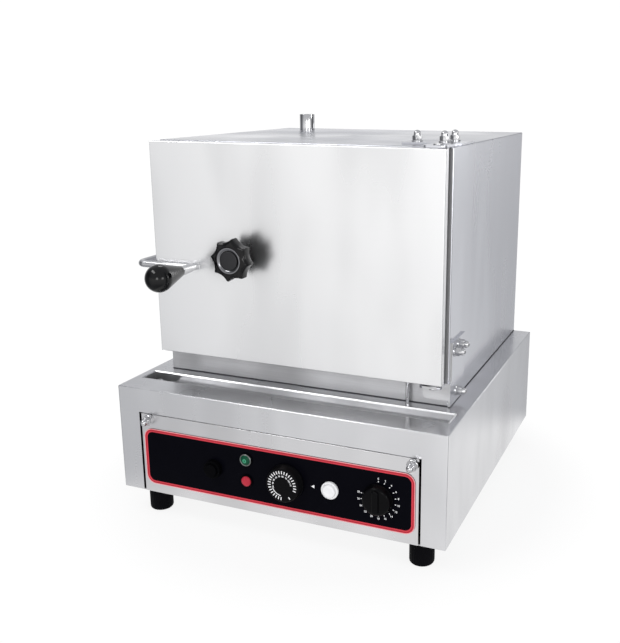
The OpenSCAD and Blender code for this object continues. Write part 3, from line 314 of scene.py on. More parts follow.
# Star knob's trim ring: a grey metal finish on plastic, which paints the sheen of glossy black plastic.
KNOB_SHEEN = SteelFinish("knob_painted_sheen", (0.2, 0.2, 0.21), 0.14, "black_plastic", pull=0.0)
PLAIN_STEEL = SteelFinish("plain_steel", (0.52, 0.52, 0.53), 0.36, "plain_steel")
HEATER_SHEATH = SteelFinish("heater_sheath", (0.3, 0.29, 0.29), 0.42, "heater_sheath", 0.2, pull=0.1)
BRASS = SteelFinish("brass_fitting", (0.72, 0.53, 0.25), 0.28, "brass_fitting", 0.12, pull=0.2)
COPPER = SteelFinish("copper_tube", (0.72, 0.4, 0.27), 0.3, "copper_tube", 0.14, pull=0.1)
BLACK_GLOSS = MouldedFinish("black_gloss", (0.002, 0.002, 0.0025), 0.09, specular=0.45, bounce=1.36,
                            grain=0.02)
BLACK_KNOB = MouldedFinish("black_knob", (0.002, 0.002, 0.0025), 0.16, specular=0.25, bounce=1.22, grain=0.02)
BLACK_SATIN = MouldedFinish("black_satin", (0.003, 0.003, 0.0035), 0.34, specular=0.2, bounce=1.2, grain=0.04)
DULL_BLACK = MouldedFinish("dull_black", (0.0015, 0.0015, 0.002), 0.45, specular=0.15, bounce=1.15)
DARK_PLASTIC = MouldedFinish("dark_plastic", (0.02, 0.02, 0.022), 0.45, "dark_plastic", specular=0.25,
                             grain=0.08)
FOOT_RUBBER = MouldedFinish("foot_rubber", (0.003, 0.003, 0.004), 0.5, "black_rubber", specular=0.12,
                            grain=0.2, bounce=1.2)
PANEL_FILM = MouldedFinish("panel_film", (0.002, 0.002, 0.0038), 0.3, "overlay_print", specular=0.2,
                           bounce=1.12)
BORDER_RED, BORDER_PALE, BORDER_DARK = (
    MouldedFinish(name, colour, 0.4, "overlay_print", specular=0.15)
    for name, colour in (("border_red", (0.6, 0.045, 0.065)), ("border_pale", (0.8, 0.42, 0.44)),
                         ("border_dark", (0.3, 0.015, 0.025))))
WHITE_PRINT = MouldedFinish("white_print", (0.82, 0.82, 0.83), 0.5, "overlay_print", 0.05, specular=0.15)
WHITE_PLASTIC = MouldedFinish("white_plastic", (0.8, 0.8, 0.81), 0.16, "white_plastic", 0.04, coat=0.2)
IVORY_PLASTIC = MouldedFinish("ivory_plastic", (0.7, 0.65, 0.5), 0.4, "ivory_plastic", grain=0.08)
GREEN_LENS = MouldedFinish("green_lens", (0.004, 0.06, 0.03), 0.14, "green_lens", 0.2, bounce=1.3)
# Paler green ring on the green lens: a painted highlight.
GREEN_HIGHLIGHT = MouldedFinish("green_painted_highlight", (0.05, 0.3, 0.17), 0.2, "green_lens", 0.2, bounce=1.3)
RED_LENS = MouldedFinish("red_lens", (0.42, 0.025, 0.045), 0.14, "red_lens", 0.25, bounce=1.3)
# Near-black band along the cabinet's foot.
DARK_FOOT_BAND = MouldedFinish("dark_foot_band", (0.06, 0.06, 0.065), 0.6, "silicone", specular=0.1, grain=0.1)
GREY_SILICONE = MouldedFinish("grey_silicone", (0.3, 0.3, 0.3), 0.5, "silicone", specular=0.25, grain=0.15)
MINERAL_WOOL = MouldedFinish("mineral_wool", (0.5, 0.42, 0.22), 0.95, "mineral_wool", 0.4, specular=0.05,
                             grain=1.0, fineness=400.0)


# Shapes


@dataclass(frozen=True)
class NodeBox:
    """The box that a solid fills at rest, its corners in metres."""

    low: Vector
    high: Vector

    @classmethod
    def of(cls, node: str) -> "NodeBox":
        """Returns a solid's box."""
        return cls(*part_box(node))

    @property
    def centre(self) -> Vector:
        """The box's middle."""
        return (self.low + self.high) / 2

    @property
    def size(self) -> Vector:
        """The box's three sides, in millimetres."""
        return (self.high - self.low) / MM

    def front_centre(self) -> Vector:
        """Returns the middle of the box's front face."""
        return Vector((self.centre.x, self.low.y, self.centre.z))

    def is_bend(self, edge: bmesh.types.BMEdge, skip: int | None = None) -> bool:
        """Returns whether an edge is an outer bend, where two sides of the box meet, off the skipped axis."""
        near = 0.05 * MM
        planes = [axis for axis in range(3) for side in (self.low, self.high)
                  if all(abs(vert.co[axis] - side[axis]) < near for vert in edge.verts)]
        return len(planes) >= 2 and (skip is None or skip in planes)


def polar(radius: float, angle: float) -> tuple[float, float]:
    """Returns the point at a radius and an angle in radians."""
    return radius * math.cos(angle), radius * math.sin(angle)


def placed(place: Matrix, x: float, y: float, height: float) -> Vector:
    """Returns a point of a placed piece, from its own millimetres."""
    return place @ (Vector((x, y, height)) * MM)


def shifted(place: Matrix, x: float, y: float, height: float) -> Matrix:
    """Returns a placing moved by its own millimetres."""
    return place @ Matrix.Translation(Vector((x, y, height)) * MM)


def stand(name: str, data: bpy.types.ID) -> Piece:
    """Returns a new object of the data, put in the scene."""
    thing = bpy.data.objects.new(name, data)
    bpy.context.scene.collection.objects.link(thing)
    return thing


def rounded_outline(width: float, height: float, radius: float, steps: int = 10) -> list[tuple[float, float]]:
    """Returns the points of a rectangle with rounded corners about the origin, anticlockwise."""
    points = []
    for turn, (sx, sy) in enumerate(((1, 1), (-1, 1), (-1, -1), (1, -1))):
        for step in range(steps + 1):
            angle = math.radians(90 * turn + 90 * step / steps)
            points.append((sx * (width / 2 - radius) + radius * math.cos(angle),
                           sy * (height / 2 - radius) + radius * math.sin(angle)))
    return points


class Shape:
    """A mesh in the making, in metres."""

    def __init__(self) -> None:
        """Starts with an empty mesh."""
        self.mesh = bmesh.new()

    @classmethod
    def of_node(cls, node: str) -> "Shape":
        """Returns a copy of a solid, with its flat faces made whole."""
        shape = cls()
        shape.mesh.from_mesh(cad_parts[node].data)
        bmesh.ops.remove_doubles(shape.mesh, verts=shape.mesh.verts, dist=1e-6)
        bmesh.ops.dissolve_limit(shape.mesh, angle_limit=math.radians(0.5), verts=shape.mesh.verts,
                                 edges=shape.mesh.edges)
        return shape

    def islands(self) -> list[NodeBox]:
        """Returns the box of each separate body in the mesh."""
        seen: set[bmesh.types.BMVert] = set()
        boxes = []
        for start in self.mesh.verts:
            if start in seen:
                continue
            heap, members = [start], []
            seen.add(start)
            while heap:
                vert = heap.pop()
                members.append(vert.co)
                for edge in vert.link_edges:
                    other = edge.other_vert(vert)
                    if other not in seen:
                        seen.add(other)
                        heap.append(other)
            boxes.append(NodeBox(Vector(map(min, zip(*members))), Vector(map(max, zip(*members)))))
        return boxes

    def rings(self, rings: Iterable[Sequence[Vector]], closed: bool = False) -> "Shape":
        """Adds a skin over rings of points.

        Args:
            rings: Rings in order, each with the same count of points, or one point for a tip.
            closed: Whether the last ring joins the first, as in a tube wall.

        Returns:
            This shape.
        """
        made = [[self.mesh.verts.new(point) for point in ring] for ring in rings]
        pairs = list(zip(made, made[1:])) + ([(made[-1], made[0])] if closed else [])
        for below, above in pairs:
            count = max(len(below), len(above))
            for index in range(count):
                after = (index + 1) % count
                corners = [below[index % len(below)], below[after % len(below)],
                           above[after % len(above)], above[index % len(above)]]
                self.mesh.faces.new(list(dict.fromkeys(corners)))
        if not closed:
            for ring, turned in ((made[0], True), (made[-1], False)):
                if len(ring) > 2:
                    self.mesh.faces.new(ring[::-1] if turned else ring)
        return self

    def turned(self, profile: Points, place: Matrix, steps: int = 96, closed: bool = False,
               reach: Callable[[float, float, float], float] | None = None) -> "Shape":
        """Adds a turned body.

        Args:
            profile: Radius and height of each ring, in millimetres.
            place: Where the body's own origin and upright axis go.
            steps: Points around each ring.
            closed: Whether the profile is a loop, as in a ring with a bore.
            reach: The radius at an angle, from the ring's radius, height and the angle, where it isn't round.

        Returns:
            This shape.
        """
        rings = []
        for radius, height in profile:
            if radius == 0:
                rings.append([placed(place, 0, 0, height)])
                continue
            ring = []
            for step in range(steps):
                angle = 2 * math.pi * step / steps
                far = reach(radius, height, angle) if reach else radius
                ring.append(placed(place, *polar(far, angle), height))
            rings.append(ring)
        return self.rings(rings, closed)

    def stack(self, layers: Sequence[tuple[Points, float]], place: Matrix, closed: bool = False) -> "Shape":
        """Adds a skin over outlines, each at its height, all in millimetres."""
        rings = [[placed(place, x, y, height) for x, y in outline] for outline, height in layers]
        return self.rings(rings, closed)

    def plate(self, outline: Points, low: float, high: float, place: Matrix) -> "Shape":
        """Adds a plate of an outline, between two heights, all in millimetres."""
        return self.stack(((outline, low), (outline, high)), place)

    def band(self, outer: Points, inner: Points, low: float, high: float, place: Matrix) -> "Shape":
        """Adds a flat frame between two outlines of equal count, all in millimetres."""
        return self.stack(((outer, low), (outer, high), (inner, high), (inner, low)), place, closed=True)

    def words(self, text: str, size: float, depth: float, place: Matrix) -> "Shape":
        """Adds plain numbers as a thin mesh, centred on the place.

        Args:
            text: The digits.
            size: Their height in millimetres.
            depth: Their thickness in millimetres.
            place: Where their middle goes.

        Returns:
            This shape.
        """
        curve = bpy.data.curves.new("digits", "FONT")
        curve.body, curve.size, curve.extrude = text, size * MM, depth / 2 * MM
        curve.align_x, curve.align_y = "CENTER", "CENTER"
        curve.resolution_u = 3
        curve.offset = 0.025 * size * MM
        holder = stand("digits", curve)
        mesh = bpy.data.meshes.new_from_object(holder.evaluated_get(bpy.context.evaluated_depsgraph_get()))
        mesh.transform(place)
        self.mesh.from_mesh(mesh)
        bmesh.ops.remove_doubles(self.mesh, verts=self.mesh.verts, dist=1e-7)
        bpy.data.objects.remove(holder)
        bpy.data.curves.remove(curve)
        bpy.data.meshes.remove(mesh)
        return self

    def soften(self, radius: float, segments: int = 2,
               pick: Callable[[bmesh.types.BMEdge], bool] | None = None) -> "Shape":
        """Rounds sharp edges.

        Args:
            radius: The rounding in millimetres.
            segments: Steps across the rounding.
            pick: Which edges to round, where not all sharp ones.

        Returns:
            This shape.
        """
        sharp = math.radians(28)
        edges = [edge for edge in self.mesh.edges
                 if edge.is_manifold and edge.calc_face_angle(0.0) > sharp and (pick is None or pick(edge))]
        bmesh.ops.bevel(self.mesh, geom=edges, offset=radius * MM, offset_type="OFFSET", segments=segments,
                        profile=0.5, affect="EDGES", clamp_overlap=True)
        return self

    def corner_normals(self) -> list[Vector]:
        """Returns the normal at each corner: a broad flat face keeps its own, and a rounding runs into it."""
        self.mesh.normal_update()
        areas = {face: face.calc_area() for face in self.mesh.faces}
        smooth, level, broad_share = math.cos(math.radians(34)), math.cos(math.radians(1)), 6.0
        normals = []
        for face in self.mesh.faces:
            for loop in face.loops:
                near = [other for other in loop.vert.link_faces if other.normal.dot(face.normal) > smooth]
                near = near or [face]
                broad = max(near, key=areas.get)
                rest = [areas[other] for other in near if other.normal.dot(broad.normal) < level]
                if areas[broad] * len(rest) >= broad_share * sum(rest):
                    normals.append(broad.normal.copy())
                else:
                    normals.append(sum((other.normal for other in near), Vector()).normalized())
        return normals

    def piece(self, name: str, finish: Finish, body: str = "frame", stands_for: Sequence[str] = ()) -> Piece:
        """Ends the mesh and puts it on the object.

        Args:
            name: The piece's name.
            finish: Its finish.
            body: The body that it moves with.
            stands_for: The solids that it replaces.

        Returns:
            The piece.
        """
        bmesh.ops.recalc_face_normals(self.mesh, faces=self.mesh.faces)
        normals = self.corner_normals()
        data = bpy.data.meshes.new(name)
        self.mesh.to_mesh(data)
        self.mesh.free()
        data.polygons.foreach_set("use_smooth", [True] * len(data.polygons))
        data.normals_split_custom_set(normals)
        data.materials.append(finish.material())
        piece = stand(name, data)
        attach(piece, body)
        if stands_for:
            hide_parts(*stands_for)
        log.info("%s: %d faces in %s, on %s", name, len(data.polygons), finish.name, body)
        return piece


def fine_copy(node: str, finish: Finish, body: str = "frame", bend: float = 0.0, edge: float = 0.25,
              square: int | None = None) -> Piece:
    """Stands a rounded copy in for a solid.

    Args:
        node: The solid.
        finish: The copy's finish.
        body: The body that it moves with.
        bend: The rounding of the outer bends in millimetres, or none.
        edge: The rounding of the other sharp edges in millimetres.
        square: The axis along which outer corners stay square, where there is one.

    Returns:
        The piece.
    """
    shape = Shape.of_node(node)
    if bend:
        box = NodeBox.of(node)
        shape.soften(bend, 4, lambda found: box.is_bend(found, square))
    shape.soften(edge, 2)
    return shape.piece(f"{node}_dressed", finish, body, [node])


def dress_solid(node: str, finish: Finish) -> None:
    """Gives a solid that stays its finish."""
    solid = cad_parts[node]
    if not solid.material_slots:
        solid.data.materials.append(None)
    for place in solid.material_slots:
        place.material = finish.material()
    log.info("%s: solid kept in %s", node, finish.name)


def finish_front(piece: Piece, finish: Finish) -> None:
    """Gives a piece's front faces a finish of their own, here a darker copy of the sheet that paints shade on
    them.
    """
    square_on = 0.99
    piece.data.materials.append(finish.material())
    for face in piece.data.polygons:
        face.material_index = int(face.normal.y < -square_on)


# Sub-assemblies


class SubAssembly:
    """A group of pieces that are made and dressed together."""

    def build(self) -> None:
        """Makes every piece of the group."""
        raise NotImplementedError


@dataclass
class BaseHousing(SubAssembly):
    """The base box with its drip trough, feet and rear fittings."""

    bend: float = 2.6
    rib_count: int = 28
    rib_depth: float = 0.35
    rib_from: float = 14.0
    rib_fade: float = 2.0
    foot_round: float = 4.0
    fold: Points = ((-0.9, -0.3), (-0.9, 0.1), (-0.2, 0.8), (0.3, 0.8), (1.9, -0.6), (1.9, -0.9))

    def build(self) -> None:
        """Makes the housing, trough, feet and rear fittings."""
        fine_copy("base_shell", BASE_SHEET, bend=self.bend)
        # The trough's darker steel is painted shade in the recess.
        fine_copy("drip_trough", TROUGH_SHADE, edge=0.4)
        self.trough_fold()
        for node, finish, edge in (("trough_drain", BRIGHT_STEEL, 0.3), ("cable_gland", DARK_PLASTIC, 0.5),
                                   ("drain_pipe", BRIGHT_STEEL, 0.25), ("drain_cap", BRIGHT_STEEL, 0.6)):
            fine_copy(node, finish, edge=edge)
        self.feet()
        for node, finish in (("bottom_plate", PLAIN_STEEL), ("foot_screws", BRIGHT_STEEL),
                             ("terminal_block", IVORY_PLASTIC)):
            dress_solid(node, finish)

    def trough_fold(self) -> None:
        """Makes the fold that runs along the trough's rear edge and its two ends, its lighter steel a painted
        highlight.
        """
        box = NodeBox.of("drip_trough")
        low, high = box.low / MM, box.high / MM

        def section(right: bool, front: bool) -> list[Vector]:
            """Returns the fold's section at one corner of the trough."""
            return [Vector((high.x - inset if right else low.x + inset, low.y if front else high.y - inset,
                            high.z + height)) * MM for inset, height in self.fold]

        corners = ((False, True), (False, False), (True, False), (True, True))
        Shape().rings([section(*corner) for corner in corners]).piece("trough_fold", FOLD_HIGHLIGHT)

    def feet(self) -> None:
        """Makes the ribbed rubber feet, with rounded lower edges and a hollow sole."""
        shape = Shape()
        for box in Shape.of_node("feet").islands():
            wide, tall = box.size.x / 2, box.size.z
            curve = [(wide - self.foot_round * (1 - math.sin(a)), self.foot_round * (1 - math.cos(a)))
                     for a in (math.radians(18 * step) for step in range(6))]
            profile = [(0, 1.5), (wide * 0.55, 1.5), (wide * 0.6, 0.2), *curve, (wide, tall - 1.2),
                       (wide - 0.6, tall - 0.2), (wide - 1.4, tall), (0, tall)]
            place = Facing.UP.at((box.centre.x, box.centre.y, box.low.z))
            shape.turned(profile, place, self.rib_count * 6, reach=self.ribbed)
        shape.piece("feet_dressed", FOOT_RUBBER, "frame", ["feet"])

    def ribbed(self, radius: float, height: float, angle: float) -> float:
        """Returns the foot's radius at an angle, with shallow upright ribs on its wall."""
        share = max(0.0, min(1.0, (radius - self.rib_from) / self.rib_fade))
        return radius - share * self.rib_depth * (0.5 + 0.5 * math.cos(self.rib_count * angle))


@dataclass
class ControlPanel(SubAssembly):
    """The front panel with its film, lamps, dials and buttons."""

    bend: float = 1.8
    film_corner: float = 14.0
    print_sink: float = -0.05
    print_depth: float = 0.14
    print_raised: float = 1.6
    edge_w: float = 0.9
    border_w: float = 4.9
    groove_in: float = 2.3
    groove_w: float = 0.8
    dial_ring: float = 20.6
    tick_len: float = 4.2
    tick_w: float = 1.3
    dial_ticks: int = 25
    dial_first: float = 265.0
    dial_sweep: float = 280.0
    off_mark: float = -57.0
    values: range = range(30, 120, 10)
    values_first: float = 195.0
    values_sweep: float = 178.0
    values_in: float = 3.3
    values_size: float = 2.904
    arc_first: float = 200.0
    arc_sweep: float = 62.0
    arc_steps: int = 16
    arc_in: tuple[float, float] = (1.4, 2.5)
    pointer: Points = ((0.0, 0.0), (4.6, -2.4), (4.6, 2.4))
    pointer_gap: float = 10.5
    timer_ring: float = 27.0
    timer_step: float = 20.0
    timer_values: range = range(0, 30, 2)
    timer_tick: tuple[float, float] = (1.9, 1.0)
    timer_tick_in: float = 2.6
    timer_value_out: float = 0.4
    timer_value_size: float = 3.52
    timer_bar: float = 3.0
    timer_taper: float = 4.0
    face_box: NodeBox = field(default_factory=lambda: NodeBox.of("panel_overlay"))

    def build(self) -> None:
        """Makes the panel, its film and prints, and everything that stands on it."""
        fine_copy("control_panel", PANEL_SHEET, bend=self.bend)
        fine_copy("panel_overlay", PANEL_FILM, edge=0.12)
        self.border()
        self.lamps()
        self.thermostat()
        self.timer()
        self.buttons()
        for node, finish in (("panel_brackets", PLAIN_STEEL), ("thermostat_body", DARK_PLASTIC),
                             ("limiter_body", DARK_PLASTIC), ("timer_body", DARK_PLASTIC),
                             ("switch_body", DARK_PLASTIC), ("sensor_bulbs", COPPER)):
            dress_solid(node, finish)

    def on_film(self, x: float, z: float) -> Matrix:
        """Returns the placing of a print on the film, at a place in metres."""
        return Facing.FRONT.at((x, self.face_box.low.y, z))

    def border(self) -> None:
        """Prints the red border of the film, with a pale outer edge and a darker line in its middle."""
        centre, size = self.face_box.centre, self.face_box.size
        place, raised = self.on_film(centre.x, centre.z), self.print_depth * self.print_raised

        def inset(by: float) -> list[tuple[float, float]]:
            """Returns the film's outline moved in."""
            return rounded_outline(size.x - 2 * by, size.z - 2 * by, self.film_corner - by)

        for name, finish, start, wide, rise in (
                ("film_border", BORDER_RED, 0.1, self.border_w, self.print_depth),
                ("film_border_edge", BORDER_PALE, 0.15, self.edge_w, raised),
                ("film_border_line", BORDER_DARK, self.groove_in, self.groove_w, raised)):
            band = Shape().band(inset(start), inset(start + wide), self.print_sink, rise, place)
            band.piece(name, finish)

    def lamps(self) -> None:
        """Makes the two lamps: a green lens with a paler ring that paints its highlight, and a facetted red
        one, each in a bezel.
        """
        fine_copy("lamp_bezels", DULL_BLACK, edge=0.7)
        for node, finish, steps in (("green_lamp", GREEN_LENS, 64), ("red_lamp", RED_LENS, 14)):
            box = NodeBox.of(node)
            dress_solid(node, finish)
            place = Facing.FRONT.at(box.front_centre())
            lens = [(6.9, -2.6), (6.9, -1.9), (6.2, -1.0), (4.4, -0.1), (2.6, 0.35), (1.4, 0.2), (0, 0.1)]
            Shape().turned([(0, -2.6), *lens], place, steps).piece(f"{node}_lens", finish)
            if finish is GREEN_LENS:
                # A paler green ring on the lens paints its highlight.
                painted_highlight = [(1.0, 0.1), (2.6, 0.1), (2.8, 0.4), (2.2, 0.6), (1.3, 0.55)]
                Shape().turned(painted_highlight, place, steps, closed=True).piece(f"{node}_core", GREEN_HIGHLIGHT)
                rim = [(7.0, -2.9), (8.4, -2.9), (8.4, -2.3), (8.1, -1.9), (7.4, -1.8), (7.0, -2.1)]
                Shape().turned(rim, place, steps, closed=True).piece(f"{node}_rim", LAMP_RIM)

    def stamp(self, shape: Shape, outline: Points, place: Matrix) -> Shape:
        """Adds one printed area to a print and returns the print."""
        return shape.plate(outline, self.print_sink, self.print_depth, place)

    def tick(self, shape: Shape, place: Matrix, angle: float, radius: float, length: float,
             width: float) -> None:
        """Adds one radial mark to a print.

        Args:
            shape: The print.
            place: The ring's middle.
            angle: The mark's angle in degrees, anticlockwise from the right.
            radius: The mark's outer end.
            length: Its length.
            width: Its width.
        """
        turn = place @ Matrix.Rotation(math.radians(angle), 4, "Z")
        near, side = radius - length, width / 2
        self.stamp(shape, [(near, -side), (radius, -side), (radius, side), (near, side)], turn)

    def knob_foot(self, box: NodeBox, bar: float = 0.0) -> tuple[list[tuple[float, float]], float]:
        """Returns a knob's profile from stem to rim, and the height of its face under any bar on it."""
        wide, stem = box.size.x / 2, box.size.y - bar
        tall = (self.face_box.low.y - box.low.y) / MM - bar
        foot = [(0, -stem), (3, -stem), (3, -tall + 0.4), (wide - 0.5, -tall + 0.4), (wide, -tall + 1.0)]
        return foot, tall

    def thermostat(self) -> None:
        """Makes the thermostat dial with its printed scale, and the pointer on the film."""
        box = NodeBox.of("thermostat_knob")
        wide, face = box.size.x / 2, box.front_centre()
        foot, tall = self.knob_foot(box)
        flat = wide - 1.9
        profile = [*foot, (wide, -tall * 0.72), (wide - 0.6, -tall * 0.66), (flat + 0.5, -1.4),
                   (flat + 0.25, -0.7), (flat - 0.4, -0.15), (flat - 1.2, 0.0), (0, 0.0)]
        place = Facing.FRONT.at(face)
        Shape().turned(profile, place, 128).piece("thermostat_knob_dressed", BLACK_SATIN, "thermostat_dial",
                                                  ["thermostat_knob"])
        scale, inside = Shape(), self.dial_ring - self.tick_len
        for index in range(self.dial_ticks):
            angle = self.dial_first - self.dial_sweep * index / (self.dial_ticks - 1)
            self.tick(scale, place, angle, self.dial_ring, self.tick_len, self.tick_w)
        self.tick(scale, place, self.off_mark, self.dial_ring, self.tick_len * 0.8, self.tick_w)
        for index, value in enumerate(self.values):
            angle = math.radians(self.values_first - self.values_sweep * index / (len(self.values) - 1))
            middle = shifted(place, *polar(inside - self.values_in, angle), self.print_depth / 2)
            scale.words(str(value), self.values_size, self.print_depth,
                        middle @ Matrix.Rotation(angle - math.pi / 2, 4, "Z"))
        arc = [math.radians(self.arc_first + self.arc_sweep * step / self.arc_steps)
               for step in range(self.arc_steps + 1)]
        outer, inner = (inside - by for by in self.arc_in)
        outline = [polar(outer, angle) for angle in arc] + [polar(inner, angle) for angle in reversed(arc)]
        self.stamp(scale, outline, place).piece("thermostat_scale", WHITE_PRINT, "thermostat_dial")
        beside = self.on_film(face.x + (wide + self.pointer_gap) * MM, face.z)
        self.stamp(Shape(), self.pointer, beside).piece("dial_pointer", WHITE_PRINT)

    def timer(self) -> None:
        """Makes the timer knob with its grip bar, and the scale printed around it."""
        box = NodeBox.of("timer_knob")
        wide, centre = box.size.x / 2, box.centre
        foot, tall = self.knob_foot(box, self.timer_bar)
        place = Facing.FRONT.at((centre.x, box.low.y + self.timer_bar * MM, centre.z))
        top = wide - self.timer_taper / 2
        profile = [*foot, (wide, -tall * 0.75), (wide - 0.4, -tall * 0.7), (top + 0.3, -2.4),
                   (top - 0.3, -1.1), (top - 1.5, -0.25), (top - 3.0, 0.0), (0, 0.0)]
        shape = Shape().turned(profile, place, 128)
        long = 2 * wide - 2 * self.timer_taper - 1.0
        layers = ((9.0, 0.0, -1.0), (9.0, 0.0, 1.4), (8.4, 0.6, 2.3), (7.2, 1.8, 2.85),
                  (5.6, 3.4, self.timer_bar))
        shape.stack([(rounded_outline(across, long - less, across / 2.4), height)
                     for across, less, height in layers], place)
        shape.piece("timer_knob_dressed", BLACK_KNOB, "timer_dial", ["timer_knob"])
        film = self.on_film(centre.x, centre.z)
        scale = Shape()
        for index, value in enumerate(self.timer_values):
            angle = 90.0 - self.timer_step * index
            self.tick(scale, film, angle, self.timer_ring - self.timer_tick_in, *self.timer_tick)
            spot = polar(self.timer_ring + self.timer_value_out, math.radians(angle))
            scale.words(str(value), self.timer_value_size, self.print_depth,
                        shifted(film, *spot, self.print_depth / 2))
        scale.piece("timer_scale", WHITE_PRINT)

    def buttons(self) -> None:
        """Makes the white start button with its bezel, and the reset button in its collar."""
        fine_copy("button_bezel", WHITE_PLASTIC, edge=0.9)
        box = NodeBox.of("push_button")
        wide, deep = box.size.x / 2, box.size.y
        profile = [(0, -deep), (wide, -deep), (wide, -2.2), (wide - 0.3, -1.2), (wide - 1.0, -0.5),
                   (wide - 2.0, -0.25), (wide - 4.5, -0.6), (0, -0.9)]
        Shape().turned(profile, Facing.FRONT.at(box.front_centre()), 96).piece(
            "push_button_dressed", WHITE_PLASTIC, "start_button", ["push_button"])
        fine_copy("reset_collar", DULL_BLACK, edge=0.9)
        fine_copy("reset_button", DULL_BLACK, "reset", edge=0.6)


@dataclass
class Cabinet(SubAssembly):
    """The outer cabinet with its vent pipe and the overflow tube."""

    bend: float = 3.0
    seam_w: float = 0.7
    seam_h: float = 0.9
    seam_in: float = 0.4

    def build(self) -> None:
        """Makes the cabinet and its pipes."""
        self.seam()
        # The cabinet's front faces take a darker copy of its steel: painted shade.
        finish_front(fine_copy("cabinet_shell", CABINET_SHEET, bend=self.bend), FRONT_SHADE)
        fine_copy("vent_pipe", BRIGHT_STEEL, edge=0.5)
        fine_copy("overflow_tube", BRIGHT_STEEL)
        dress_solid("insulation", MINERAL_WOOL)

    def seam(self) -> None:
        """Makes a dark band where the cabinet stands on the base."""
        box, foot = NodeBox.of("cabinet_shell"), NodeBox.of("base_shell").high.z
        wide, deep = box.size.x, box.size.y
        outer = rounded_outline(wide + 2 * self.seam_w, deep, self.bend, 4)
        inner = rounded_outline(wide - self.seam_in, deep - 2 * self.seam_w, self.bend, 4)
        place = Facing.UP.at((box.centre.x, box.centre.y - self.seam_w * MM, foot))
        Shape().band(outer, inner, 0.0, self.seam_h, place).piece("cabinet_seam", DARK_FOOT_BAND)


@dataclass
class CookingChamber(SubAssembly):
    """The steam chamber with its heater, racks and trays."""

    levels: int = 3

    def build(self) -> None:
        """Makes the chamber and everything in it."""
        for node in ("chamber", "water_tank"):
            fine_copy(node, INSIDE_SHEET, edge=0.4)
        for side in ("left", "right"):
            fine_copy(f"tray_rack_{side}", INSIDE_SHEET)
        for level in range(1, self.levels + 1):
            fine_copy(f"idli_tray_{level}", TRAY_METAL, edge=0.35)
        dress_solid("heating_element", HEATER_SHEATH)
        fine_copy("element_glands", BRASS, edge=0.4)


@dataclass
class Fasteners(SubAssembly):
    """The dome nuts, washers and studs."""

    across: float = 11.0
    hex_h: float = 6.0
    dome_d: float = 9.5
    dome_rise: float = 2.2
    hole: float = 3.1

    def build(self) -> None:
        """Makes every nut and washer in its place."""
        nuts, washers = Shape(), Shape()
        for box in Shape.of_node("washers").islands():
            thin = min(range(3), key=lambda axis: box.size[axis])
            thick, wide = box.size[thin], box.size[(thin + 1) % 3] / 2
            facing = (Facing.RIGHT, Facing.FRONT, Facing.UP)[thin]
            foot = box.centre.copy()
            foot[thin] = box.high[thin] if facing is Facing.FRONT else box.low[thin]
            place = facing.at(foot)
            profile = [(self.hole, 0), (wide, 0), (wide, thick - 0.4), (wide - 0.4, thick),
                       (self.hole, thick)]
            washers.turned(profile, place, 64, closed=True)
            self.nut(nuts, shifted(place, 0, 0, thick))
        nuts.piece("dome_nuts_dressed", BRIGHT_STEEL, "frame", ["dome_nuts"])
        washers.piece("washers_dressed", BRIGHT_STEEL, "frame", ["washers"])
        dress_solid("studs", BRIGHT_STEEL)

    def nut(self, shape: Shape, place: Matrix) -> None:
        """Adds one dome nut, its hexagon chamfered at both ends."""
        flat = self.across / 2
        corner = flat / math.cos(math.pi / 6)
        ball = self.dome_d / 2
        shoulder = self.hex_h + self.dome_rise
        dome = [(ball * math.cos(a), shoulder + ball * math.sin(a))
                for a in (math.radians(15 * step) for step in range(6))]
        profile = [(flat * 1.02, 0), (corner, 0.5), (corner, self.hex_h - 0.9), (flat, self.hex_h),
                   (ball + 0.2, self.hex_h), (ball, self.hex_h + 0.2), *dome, (0, shoulder + ball)]
        shape.turned(profile, place, 72, reach=self.hexagon)

    def hexagon(self, radius: float, height: float, angle: float) -> float:
        """Returns the smaller of a ring's radius and the hexagon's reach at an angle."""
        turn = (angle + math.pi / 6) % (math.pi / 3) - math.pi / 6
        return min(radius, self.across / 2 / math.cos(turn))


@dataclass
class Hinges(SubAssembly):
    """The upper plate and lower bracket that carry the door's pins, and the latch keeper."""

    edge: float = 0.45

    def build(self) -> None:
        """Makes the hinge plates, pins and keeper."""
        for node in ("hinge_plate_top", "latch_keeper"):
            fine_copy(node, CABINET_SHEET, edge=self.edge)
        # The bracket's front flange takes a darker copy of the steel: painted shade.
        finish_front(fine_copy("hinge_bracket_bottom", CABINET_SHEET, edge=self.edge), FLANGE_SHADE)
        fine_copy("hinge_pins", BRIGHT_STEEL, edge=0.5)
        dress_solid("hinge_washer", PLAIN_STEEL)


@dataclass
class DoorLeaf(SubAssembly):
    """The door pan with its rear lip, inner blocks, boss and pins."""

    bend: float = 2.2
    sheet: float = 1.5
    lip_w: float = 12.0
    lip_t: float = 0.8

    def build(self) -> None:
        """Makes the door and what is fixed to it."""
        fine_copy("door_shell", DOOR_SHEET, "door", self.bend, square=1)
        self.lip()
        for node in ("hinge_blocks", "clamp_boss"):
            fine_copy(node, PLAIN_STEEL, "door", edge=0.4)
        fine_copy("latch_bush", DOOR_SHEET, "door", edge=0.3)
        fine_copy("guide_pins", SATIN_STEEL, "door", edge=0.4)

    def lip(self) -> None:
        """Makes the lip that is turned in along the pan's rear edge."""
        box = NodeBox.of("door_shell")
        wide, tall = box.size.x - 2 * self.sheet, box.size.z - 2 * self.sheet
        place = Facing.FRONT.at((box.centre.x, box.high.y, box.centre.z))
        outer = rounded_outline(wide, tall, 1.0, 2)
        inner = rounded_outline(wide - 2 * self.lip_w, tall - 2 * self.lip_w, 2.0, 2)
        Shape().band(outer, inner, 0.0, self.lip_t, place).piece("door_lip", DOOR_SHEET, "door")


